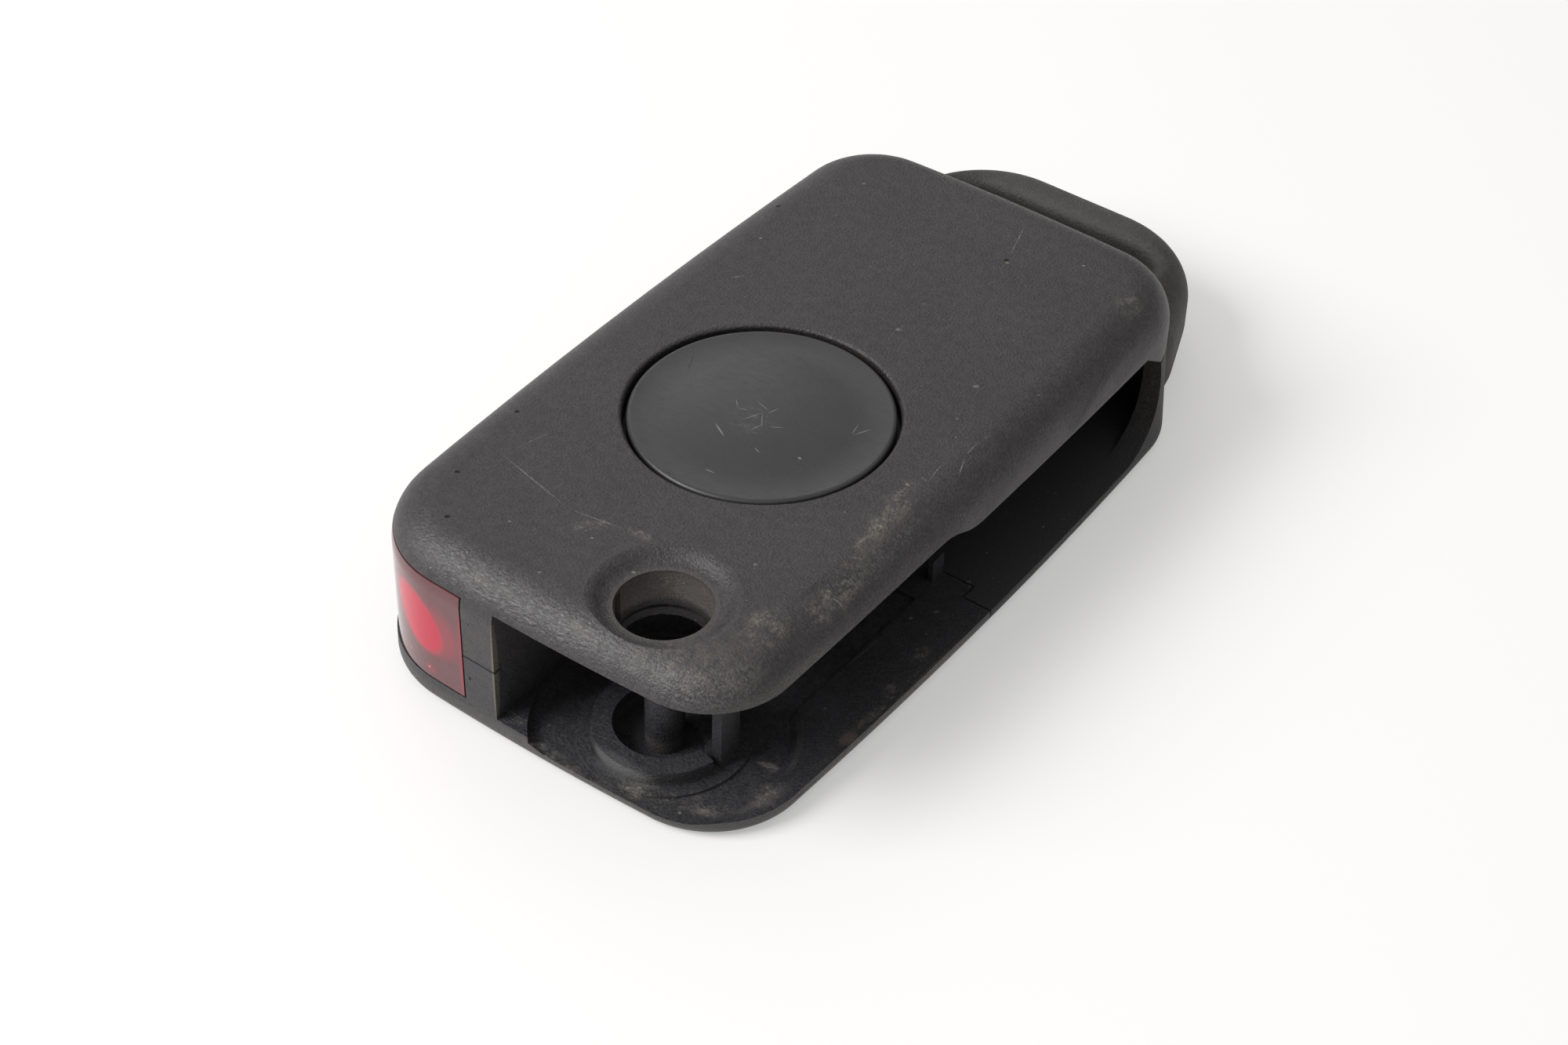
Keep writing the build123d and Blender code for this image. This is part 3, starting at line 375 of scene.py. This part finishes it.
top_black = (0.0385, 0.0345, 0.036)
top_worn = [
    leaning(0.35, 0.95, (-1.0, -36.2, 14.2), (15.0, 2.6, 2.4)),
    leaning(0.3, 0.97, (13.6, -34.6, 14.2), (5.5, 4.5, 3.0)),
    leaning(0.75, 0.98, (16.5, -20.0, 14.6), (2.2, 9.0, 1.6)),
    leaning(-0.2, 0.6, (16.0, -30.0, 11.6), (5.0, 10.0, 2.4), edge=0.4),
]
top_scuffs = [
    patch((12.6, -34.6, 14.4), (6.0, 3.2, 1.8), 0.5),
    patch((14.5, -29.5, 14.9), (2.6, 3.4, 1.2)),
    patch((16.2, -23.5, 14.4), (1.6, 4.5, 1.8)),
    patch((15.0, -17.0, 15.0), (1.1, 2.2, 1.0), 0.2),
    patch((15.0, 18.6, 14.8), (1.5, 1.8, 0.9), 0.4),
    patch((-4.5, -36.7, 14.1), (2.8, 0.5, 0.6)),
    patch((4.2, -36.5, 14.2), (2.6, 0.5, 0.6)),
]
top_scratches = [
    mark((-13.08, -25.79, 15), (-4.24, -27.70, 15), 0.15),
    mark((-4.6, -27.74, 15), (0.60, -26.89, 15), 0.13),
    mark((-11.82, -24.57, 15), (-10.92, -21.56, 15), 0.1),
    mark((-12.2, 1.8, 15), (-11.2, 3.0, 15), 0.14),
    mark((15.00, -2.97, 15), (15.08, -4.98, 15), 0.15),
    mark((15.08, -4.8, 15), (16.05, -7.31, 14.6), 0.15),
    mark((2.44, 22.93, 15), (4.02, 17.72, 15), 0.11),
    mark((15.30, 4.4, 15), (15.56, 4.95, 15), 0.14),
    mark((13.67, -12.3, 15), (13.75, -9.9, 15), 0.13),
    mark((13.0, -11.7, 15), (14.4, -10.9, 15), 0.1),
    mark((13.6, -8.9, 15), (14.9, -9.2, 15), 0.1),
    mark((14.2, -6.2, 15), (14.7, -9.4, 15), 0.09),
    mark((14.5, -18.6, 15), (14.6, -16.3, 15), 0.15),
    mark((14.6, -16.6, 15), (14.95, -14.9, 15), 0.14),
    mark((14.2, -17.8, 15), (15.2, -18.3, 15), 0.1),
    mark((14.7, -19.5, 15), (15.9, -18.7, 14.8), 0.12),
    mark((15.8, -23.2, 14.6), (17.4, -23.1, 13.6), 0.2),
    *flecks([(-13.42, 7.62, 15), (-1.62, -34.26, 15), (-6.86, -31.37, 15), (-1.01, -29.11, 15),
             (10.01, -24.20, 15), (12.21, -1.69, 15), (-11.28, 19.12, 15), (9.34, 20.67, 15),
             (2.12, 8.55, 15)], 0.16),
    *flecks([(11.17, 2.42, 15), (2.4, 4.6, 15)], 0.3),
]
# Dark nick marks, and the painted shade of the front seam
top_nicks_and_seam_shade = [
    *flecks([(-14.57, -21.43, 14.9), (-13.46, -29.50, 15), (-10.74, -33.73, 15),
             (-15.03, 12.24, 14.9), (4.05, 17.5, 15)], 0.24),
    patch((-5.43, -37.94, 10.42), (0.08, 0.5, 0.08)),
    front_seam_shade,
]
top_films_and_painted_light = [
    # Painted shade on the wall of the button's seat, a narrow groove
    ((0.015, 0.0135, 0.0115), 0.8, [round_wall(button_axis, 10.2, 10.78, 12.5, 14.9)]),
    # Dust on the wall of the release hole
    ((0.2, 0.172, 0.146), 0.35, [round_wall(hole_axis, 3.3, 3.95, 11.6, 14.15)]),
    # Painted reflection of the floor: a lighter grey band low on the rounded front right corner
    ((0.064, 0.061, 0.058), 0.7, [leaning(-0.2, 0.6, (16.5, -31.0, 11.6), (5.0, 9.0, 2.2))]),
    # Painted shade on the collar deep inside the hole
    ((0.012, 0.011, 0.01), 0.9, [round_wall(hole_axis, 3.1, 3.72, 10.0, 11.3)]),
    # Dust on the far wall of the hole, and dirt in its groove
    ((0.24, 0.21, 0.18), 0.0, [patch((5.0, -28.0, 13.0), (3.0, 1.6, 1.2))]),
    ((0.1, 0.085, 0.065), 0.7, [patch((3.3, -31.3, 12.6), (0.5, 0.9, 1.3))]),
    # Dust between the hole and the button
    (dust_grey, 0.0, [patch((1.4, -26.7, 15.0), (1.6, 0.6, 0.8)),
                      patch((-2.0, -28.4, 15.0), (2.4, 0.9, 0.8), 0.9)]),
    # Pale rubs beside the right edge, and darker patches along it and near the front right corner
    ((0.24, 0.215, 0.165), 0.0, [patch((14.5, -13.8, 14.9), (1.6, 6.2, 0.8), 0.12, 0.9),
                                 patch((15.6, -20.6, 14.6), (1.6, 4.6, 0.8), edge=0.9)]),
    ((0.2, 0.18, 0.135), 0.2, [patch((14.65, -16.9, 14.95), (0.4, 1.9, 0.5), -0.1, 0.9)]),
    ((0.02, 0.0165, 0.014), 0.0, [patch((15.6, -17.2, 14.7), (1.7, 7.0, 1.0), edge=0.8),
                                  patch((13.6, -32.6, 14.6), (5.0, 3.6, 1.4), 0.5, 0.8)]),
    # Specks of lint
    (lint_yellow, 0.6, flecks([(13.59, -10.31, 15), (14.70, -15.30, 15), (15.61, -22.94, 14.6),
                               (4.25, 17.2, 15), (3.14, -29.53, 14.3)], 0.2)),
    opening_edge,
]
wear_on("top_shell", grained_black("worn_black_top", top_black, top_worn, top_scuffs,
                                   top_scratches, top_nicks_and_seam_shade, top_films_and_painted_light))


# Lower front half, with the floor of the blade bay

floor_black = (0.034, 0.0328, 0.0365)
floor_worn = [leaning(-0.4, 0.7, (18.4, -20.0, 1.0), (1.2, 16.0, 2.0))]
floor_scuffs = [
    patch((13.0, -35.3, 1.3), (4.4, 1.5, 0.6), 0.45, 0.9),
    patch((16.3, -31.3, 1.4), (1.3, 3.0, 0.7), -0.2, 0.9),
    patch((18.6, -16.0, 0.8), (0.7, 18.0, 1.0)),
    patch((4.0, -38.1, 0.9), (12.0, 0.7, 1.0)),
    patch((18.1, -20.0, 1.3), (0.6, 10.0, 0.8)),
    patch((9.0, -37.1, 1.5), (3.2, 0.8, 0.8), 0.2),
    patch((2.0, -37.7, 1.6), (5.0, 0.7, 0.8)),
]
floor_scratches = [
    mark((13.53, -17.53, 1.6), (13.87, -12.17, 1.6), 0.12),
    mark((16.1, -4.6, 1.6), (15.4, -3.0, 1.6), 0.14),
    mark((15.2, -1.9, 1.6), (16.2, -4.2, 1.6), 0.12),
    patch((-0.37, -35.42, 1.3), (0.18, 0.14, 0.6)),
    *flecks([(15.47, -8.17, 1.6), (14.39, -9.89, 1.6), (8.32, -37.00, 1.5), (8.99, -36.49, 1.5),
             (10.97, -37.16, 1.3), (12.7, -36.5, 1.3), (6.6, -31.6, 8.5), (14.37, -9.8, 1.6),
             (15.54, -8.0, 1.6)], 0.2),
    *flecks([(13.2, -14.4, 1.6), (16.3, -10.6, 1.6), (14.9, -21.8, 1.6), (12.9, -19.2, 1.6)],
            0.13),
]
# Dark nick marks, and the painted shade of the front seam
floor_nicks_and_seam_shade = [patch((-5.61, -37.93, 4.9), (0.16, 0.5, 0.16)), front_seam_shade]
floor_films_and_painted_light = [
    # Pale front face of the ring: painted light where the front lamp falls
    ((0.165, 0.163, 0.162), 0.7, [patch((6.6, -36.2, 2.1), (4.6, 1.2, 0.9))]),
    # Dust along the front right edge, and one thicker patch of it
    ((0.22, 0.203, 0.18), 0.3, [
        patch((16.8, -31.8, 1.5), (0.9, 3.4, 0.6), -0.29, 0.9),
        patch((14.0, -35.4, 1.3), (1.6, 0.5, 0.5), 0.4, 0.9),
        patch((9.1, -36.1, 1.5), (1.5, 0.4, 0.4), 0.42, 0.7),
    ]),
    ((0.36, 0.34, 0.29), 0.25, [patch((14.9, -28.85, 1.35), (1.15, 0.34, 0.4), 0.2)]),
    # Grey arc on the floor, round the post
    ((0.09, 0.084, 0.078), 0.6, [both(round_wall(hole_axis, 9.7, 10.2, 1.2, 1.7),
                                      patch((15.5, -25.9, 1.45), (2.6, 3.6, 1.0), edge=0.4))]),
    # Dirt on the outer lip
    (lip_dirt, 0.5, [leaning(-0.6, 0.6, (0.0, -30.0, 0.8), (30.0, 30.0, 1.3), edge=0.3)]),
    # Loose dust
    (dust_grey, 0.0, [
        patch((16.9, -31.6, 1.5), (1.3, 1.5, 0.6)),
        patch((15.1, -28.9, 1.3), (0.9, 0.7, 0.5)),
        patch((8.2, -36.9, 1.4), (2.4, 0.6, 0.6)),
        patch((-2.2, -37.0, 2.3), (1.6, 0.7, 0.7)),
        patch((17.2, -12.7, 1.5), (0.9, 1.4, 0.5)),
        patch((17.5, -17.4, 1.5), (0.6, 1.2, 0.5)),
        patch((0.6, -37.2, 1.4), (3.2, 0.3, 0.5)),
    ]),
    # Brownish stain, and a dull band down the right side
    ((0.17, 0.115, 0.09), 0.5, [patch((18.1, -23.3, 1.5), (0.7, 1.1, 0.6), edge=0.5)]),
    ((0.13, 0.115, 0.1), 0.4, [patch((18.8, -14.5, 1.1), (0.35, 8.5, 1.1), edge=0.4)]),
    opening_edge,
]
wear_on("bottom_shell", grained_black("worn_black_floor", floor_black, floor_worn, floor_scuffs,
                                      floor_scratches, floor_nicks_and_seam_shade, floor_films_and_painted_light))


# Lower rear half, which slides off and carries the key ring loop

cover_black = (0.037, 0.0342, 0.0315)
cover_worn = [leaning(-0.5, 0.8, (18.4, 8.0, 1.0), (1.4, 22.0, 2.0))]
cover_scuffs = [
    leaning(0.3, 0.95, (0.0, 36.8, 8.6), (13.0, 1.6, 1.6)),
    patch((18.5, 5.0, 1.0), (0.7, 14.0, 1.2)),
    patch((15.07, 26.64, 7.8), (0.5, 0.5, 0.5)),
]
cover_scratches = [
    *flecks([(15.57, -3.69, 1.6), (18.10, -6.07, 1.97), (13.5, -5.09, 2.94)], 0.2),
    *flecks([(14.81, -0.01, 1.6), (16.65, 5.3, 1.6), (15.2, 9.4, 1.6)], 0.13),
]
cover_films = [
    # Cooler, darker floor at the end of the blade bay
    ((0.0285, 0.0275, 0.032), 1.0, [patch((13.2, 4.0, 1.7), (9.0, 26.0, 2.4), edge=0.3)]),
    # Dirt on the outer lip
    (lip_dirt, 0.5, [leaning(-0.6, 0.6, (0.0, 8.0, 0.8), (30.0, 26.0, 1.3), edge=0.3)]),
    # Dust on the loop
    ((0.1, 0.094, 0.088), 0.3, [patch((0.0, 35.5, 9.2), (14.0, 3.4, 1.8))]),
]
wear_on("battery_cover", grained_black("worn_black_cover", cover_black, cover_worn, cover_scuffs,
                                       cover_scratches, [], cover_films, dull=0.6))


# Satin button, rubbed smooth by the thumb

# Start and run of the fine scratches in the middle of the button
fine_scratches = [
    (-0.9, -9.6, 1.7, -0.5), (-0.4, -12.2, 0.9, 1.9), (0.3, -10.4, 1.2, -1.7),
    (-1.6, -11.2, 1.1, 0.3), (0.8, -12.8, 0.5, 1.5), (1.1, -9.2, -0.4, -1.3),
    (-2.3, -10.3, 0.9, -0.9), (1.6, -11.6, 1.2, 0.8),
]


def satin_button():
    """Smooth black plastic with a faint film, pale scratches and two dark hairs."""
    film_grey, scratch_grey = (0.11, 0.105, 0.1), (0.3, 0.29, 0.28)
    hair_black = (0.005, 0.005, 0.005)
    finish, tree, shader = start_finish("satin_button", (0.035, 0.034, 0.0355), 0.4)
    broad = mottle(tree, 6.0, 3.0)
    fine = mottle(tree, 0.16, 2.0)
    smear = mottle(tree, 0.5, 5.0, 0.65, stretch=(2.2, 0.7, 1.0))
    base = tint(tree, (0.032, 0.031, 0.0325), (0.037, 0.036, 0.0375), ramp(tree, broad, 0.3, 0.7))
    base = vary(tree, base, fine, 0.3, 0.7, 0.1)
    film = times(tree, spot(tree, (0.3, -11.8, 15.3), (2.6, 2.2, 1.5)),
                 ramp(tree, smear, 0.48, 0.72))
    base = tint(tree, base, film_grey, times(tree, film, 0.6))
    scratches = [
        line_mark(tree, (-1.96, -13.43, 15.3), (-0.16, -14.42, 15.3), 0.2),
        line_mark(tree, (0.39, -17.81, 15.1), (1.51, -17.74, 15.1), 0.14),
        line_mark(tree, (2.11, -13.92, 15.3), (2.97, -14.18, 15.3), 0.12),
        line_mark(tree, (6.9, -8.1, 15.1), (7.69, -6.17, 15.1), 0.12),
        line_mark(tree, (6.9, -8.1, 15.1), (6.5, -6.4, 15.1), 0.1),
        spot(tree, (5.50, -12.70, 15.2), (0.22, 0.16, 1.0)),
        *[line_mark(tree, (x, y, 15.4), (x + run, y + rise, 15.4), 0.08)
          for x, y, run, rise in fine_scratches],
        specks(tree, 1.6, 0.055, (4, 1, 0)),
    ]
    base = tint(tree, base, scratch_grey, times(tree, most(tree, scratches), 0.5))
    hairs = [line_mark(tree, (-8.75, -7.0, 15), (-7.5, -9.7, 15), 0.13),
             line_mark(tree, (-2.6, -8.2, 15.3), (-3.2, -8.6, 15.3), 0.12)]
    base = tint(tree, base, hair_black, most(tree, hairs))
    tree.links.new(base, shader.inputs["Base Color"])
    tree.links.new(ramp(tree, smear, 0.3, 0.75, 0.36, 0.46), shader.inputs["Roughness"])
    relief(tree, shader, [(fine, 0.004, 0.25), (smear, 0.004, 0.2)])
    return finish


wear_on("button_pad", satin_button())


# Clear red window with fine scratches

def red_window():
    """Clear red plastic, hazed by fine scratches, with the glow of the emitter's end painted on.
    """
    clear_red, scratched_red = (0.23, 0.068, 0.08), (0.205, 0.085, 0.095)
    left_side_red, crimson, bubble_pink = (0.2, 0.1, 0.11), (0.55, 0.001, 0.035), (0.85, 0.4, 0.42)
    finish, tree, shader = start_finish("red_window", (0.8, 0.2, 0.25), 0.1)
    # The plain value is for exports that don't follow the link made further down
    shader.inputs["Transmission Weight"].default_value = 0.9
    shader.inputs["IOR"].default_value = 1.49
    shader.inputs["Coat Weight"].default_value = 0.25
    shader.inputs["Coat Roughness"].default_value = 0.35
    swirl = mottle(tree, 0.5, 5.0, 0.7, stretch=(0.25, 1.0, 1.6))
    tree.links.new(ramp(tree, swirl, 0.5, 0.7, 0.06, 0.14), shader.inputs["Roughness"])

    base = tint(tree, clear_red, scratched_red, ramp(tree, swirl, 0.5, 0.75))
    left_side = spot(tree, (-17.5, -34.0, 8.0), (3.6, 6.0, 9.0))
    base = tint(tree, base, left_side_red, times(tree, left_side, 0.8))
    # Painted glow: the lit, domed end of the emitter is painted on
    # as a crimson oval with a fainter surround
    tipped = (0.0, 0.8, 0.0)
    surround = most(tree, [
        spot(tree, (-8.9, -37.8, 7.7), (3.4, 4.0, 2.8), tipped, 0.5),
        spot(tree, (-9.65, -37.8, 3.5), (0.9, 1.5, 0.7), edge=0.9),
        spot(tree, (-6.3, -38.0, 6.5), (0.4, 2.0, 5.6), edge=0.4),
    ])
    oval = most(tree, [spot(tree, (-10.8, -37.6, 7.9), (3.9, 4.0, 2.6), tipped, 0.35),
                       times(tree, surround, 0.4)])
    base = tint(tree, base, crimson, oval)
    bubbles = most(tree, [spot(tree, (-9.8, -37.8, 3.55), (0.13, 1.0, 0.13)),
                          spot(tree, (-12.0, -37.3, 3.9), (0.11, 1.0, 0.11))])
    base = tint(tree, base, bubble_pink, bubbles)
    tree.links.new(base, shader.inputs["Base Color"])
    tree.links.new(ramp(tree, oval, 0.0, 1.0, 0.5, 0.15), shader.inputs["Transmission Weight"])
    relief(tree, shader, [(swirl, 0.004, 0.2)])

    depth = tree.nodes.new("ShaderNodeVolumeAbsorption")
    depth.inputs["Color"].default_value = (0.88, 0.0, 0.25, 1)
    depth.inputs["Density"].default_value = 1800.0
    tree.links.new(depth.outputs["Volume"], tree.nodes["Material Output"].inputs["Volume"])
    return finish


wear_on("signal_lens", red_window())


# Pieces inside the housing

def plain_part(name, colour, roughness, grain_size, depth, metallic=0.0, stretch=(1, 1, 1)):
    """A small part with a little unevenness of colour, shine and surface."""
    finish, tree, shader = start_finish(name, colour, roughness)
    shader.inputs["Metallic"].default_value = metallic
    grain = mottle(tree, grain_size, 4.0, 0.6, stretch)
    cloud = mottle(tree, grain_size * 8, 3.0)
    base = tint(tree, scaled(colour, 0.78), colour, ramp(tree, cloud, 0.3, 0.7))
    tree.links.new(base, shader.inputs["Base Color"])
    smoothest, roughest = roughness * 0.85, min(1.0, roughness * 1.2)
    tree.links.new(ramp(tree, grain, 0.3, 0.7, smoothest, roughest), shader.inputs["Roughness"])
    relief(tree, shader, [(grain, depth, 0.4)])
    return finish


def metal_part(name, colour, roughness, grain_size, depth, stretch=(1, 1, 1)):
    """A plain part of metal."""
    return plain_part(name, colour, roughness, grain_size, depth, 1.0, stretch)


def contact_strip(name):
    """Nickel plated spring strip with fine drawing lines."""
    return metal_part(name, (0.66, 0.6, 0.5), 0.3, 0.2, 0.008, stretch=(0.5, 6, 0.5))


def board_lacquer():
    """Green lacquer over traces."""
    green = (0.02, 0.12, 0.05)
    finish, tree, shader = start_finish("board_lacquer", green, 0.3)
    traces = tree.nodes.new("ShaderNodeTexBrick")
    traces.inputs["Scale"].default_value = 1.0
    traces.inputs["Mortar Size"].default_value = 0.12
    traces.inputs["Color1"].default_value = (*green, 1)
    traces.inputs["Color2"].default_value = (0.024, 0.14, 0.055, 1)
    traces.inputs["Mortar"].default_value = (0.035, 0.19, 0.08, 1)
    tree.links.new(surface_place(tree, size=(1.6, 1.6, 1.6)), traces.inputs["Vector"])
    tree.links.new(traces.outputs["Color"], shader.inputs["Base Color"])
    weave = mottle(tree, 0.4, 2.0)
    relief(tree, shader, [(traces.outputs["Fac"], 0.03, 0.5), (weave, 0.01, 0.2)])
    tree.links.new(ramp(tree, weave, 0.3, 0.7, 0.24, 0.36), shader.inputs["Roughness"])
    return finish


def emitter_resin(name, colour, light):
    """Moulded resin of a light emitter, a little cloudy inside.

    light makes up for the daylight that reaches it through the window.
    """
    finish, tree, shader = start_finish(name, colour, 0.18)
    cloud = mottle(tree, 1.4, 4.0, 0.6)
    base = tint(tree, scaled(colour, 0.7), colour, ramp(tree, cloud, 0.35, 0.6))
    tree.links.new(base, shader.inputs["Base Color"])
    shader.inputs["Subsurface Weight"].default_value = 0.3
    shader.inputs["Subsurface Radius"].default_value = (1.0 * MM, 1.0 * MM, 1.0 * MM)
    shader.inputs["Coat Weight"].default_value = 0.5
    shader.inputs["Emission Color"].default_value = (*colour, 1.0)
    shader.inputs["Emission Strength"].default_value = light
    tree.links.new(ramp(tree, cloud, 0.3, 0.7, 0.12, 0.26), shader.inputs["Roughness"])
    relief(tree, shader, [(cloud, 0.02, 0.15)])
    return finish


tinned = metal_part("tinned_leads", (0.7, 0.69, 0.66), 0.32, 0.2, 0.01)
cell_steel = metal_part("cell_steel", (0.68, 0.68, 0.67), 0.3, 0.25, 0.008, stretch=(6, 0.5, 0.5))
chip_black = plain_part("chip_black", (0.03, 0.03, 0.032), 0.55, 0.12, 0.02)
can_metal = metal_part("can_metal", (0.72, 0.72, 0.73), 0.28, 0.3, 0.01)

inner_finishes = {
    "circuit_board": board_lacquer(),
    "push_switch": plain_part("switch_black", (0.035, 0.035, 0.036), 0.5, 0.15, 0.02),
    "switch_plunger": plain_part("plunger_ivory", (0.62, 0.58, 0.48), 0.45, 0.3, 0.01),
    "switch_legs": tinned,
    "remote_chip": chip_black,
    "chip_legs": tinned,
    "resonator": can_metal,
    "capacitor": can_metal,
    "resistors": chip_black,
    "transistor": chip_black,
    "ir_led": emitter_resin("clear_emitter", (0.86, 0.84, 0.84), light=0.15),
    "ir_led_leads": tinned,
    "indicator_led": emitter_resin("red_indicator", (0.8, 0.12, 0.1), light=0.0),
    "indicator_leads": tinned,
    "battery_upper": cell_steel,
    "battery_lower": cell_steel,
    "battery_tray": plain_part("tray_grey", (0.05, 0.05, 0.052), 0.5, 0.25, 0.02),
    "contact_negative": contact_strip("contact_nickel"),
    "contact_positive": contact_strip("contact_nickel_upper"),
}
for inner_name, inner_finish in inner_finishes.items():
    wear_on(inner_name, inner_finish)


# Floor, lights and camera. Lengths are in metres here.

def pale_floor():
    """A wide plain sheet that glows a little for the camera, so it comes out white."""
    half_width, glow_share = 1.5, 0.35
    sheet = bmesh.new()
    bmesh.ops.create_grid(sheet, x_segments=1, y_segments=1, size=half_width)
    mesh = bpy.data.meshes.new("floor")
    sheet.to_mesh(mesh)
    sheet.free()
    floor = bpy.data.objects.new("floor", mesh)
    bpy.context.scene.collection.objects.link(floor)
    finish = bpy.data.materials.new("pale_floor")
    finish.use_nodes = True
    tree = finish.node_tree
    tree.nodes.clear()
    output = tree.nodes.new("ShaderNodeOutputMaterial")
    plain = tree.nodes.new("ShaderNodeBsdfDiffuse")
    plain.inputs["Color"].default_value = (0.975, 0.955, 0.94, 1)
    white = tree.nodes.new("ShaderNodeEmission")
    white.inputs["Color"].default_value = (1, 1, 1, 1)
    white.inputs["Strength"].default_value = 1.0
    rays = tree.nodes.new("ShaderNodeLightPath")
    seen = most(tree, [rays.outputs["Is Camera Ray"], rays.outputs["Is Glossy Ray"],
                       rays.outputs["Is Transmission Ray"]])
    mix = tree.nodes.new("ShaderNodeMixShader")
    tree.links.new(times(tree, seen, glow_share), mix.inputs[0])
    tree.links.new(plain.outputs[0], mix.inputs[1])
    tree.links.new(white.outputs[0], mix.inputs[2])
    tree.links.new(mix.outputs[0], output.inputs["Surface"])
    mesh.materials.append(finish)


def soft_lamp(name, place, size, power):
    """A square lamp that is turned towards the object."""
    middle_of_fob = Vector((0, 0, 0.008))
    data = bpy.data.lights.new(name, "AREA")
    data.shape = "SQUARE"
    data.size = size
    data.energy = power
    lamp = bpy.data.objects.new(name, data)
    bpy.context.scene.collection.objects.link(lamp)
    turn = (middle_of_fob - Vector(place)).to_track_quat("-Z", "Y").to_matrix().to_4x4()
    lamp.matrix_world = Matrix.Translation(place) @ turn


def studio():
    """A soft white room, brighter overhead, with a lamp in front and a weak one behind."""
    world = bpy.data.worlds.new("soft_room")
    bpy.context.scene.world = world
    world.use_nodes = True
    tree = world.node_tree
    background = tree.nodes["Background"]
    background.inputs["Color"].default_value = (1.0, 1.0, 1.0, 1)
    direction = tree.nodes.new("ShaderNodeTexCoord")
    upward = upward_part(tree, direction.outputs["Generated"])
    brightness = ramp(tree, upward, low=0.12, high=0.66, start=0.06, end=0.56)
    tree.links.new(brightness, background.inputs["Strength"])
    soft_lamp("front_lamp", place=(-0.38, -0.47, 0.50), size=0.42, power=5.6)
    soft_lamp("rear_lamp", place=(-0.5, 0.44, 0.34), size=0.46, power=0.55)
    bpy.context.scene.view_settings.view_transform = "Standard"


def photo_camera():
    """The camera that the photograph was taken with, found from the outlines of the housing."""
    place = (0.105489, -0.153767, 0.160578)
    right = Vector((0.80272488, 0.5960701, 0.01825396))
    up = Vector((-0.40475328, 0.5220891, 0.75073148))
    data = bpy.data.cameras.new("photo_camera")
    data.sensor_width = 36.0
    data.lens = 69.687
    data.clip_start = 0.01
    camera = bpy.data.objects.new("photo_camera", data)
    bpy.context.scene.collection.objects.link(camera)
    turn = Matrix((right, up, right.cross(up))).transposed().to_4x4()
    camera.matrix_world = Matrix.Translation(place) @ turn
    bpy.context.scene.camera = camera


pale_floor()
studio()
photo_camera()
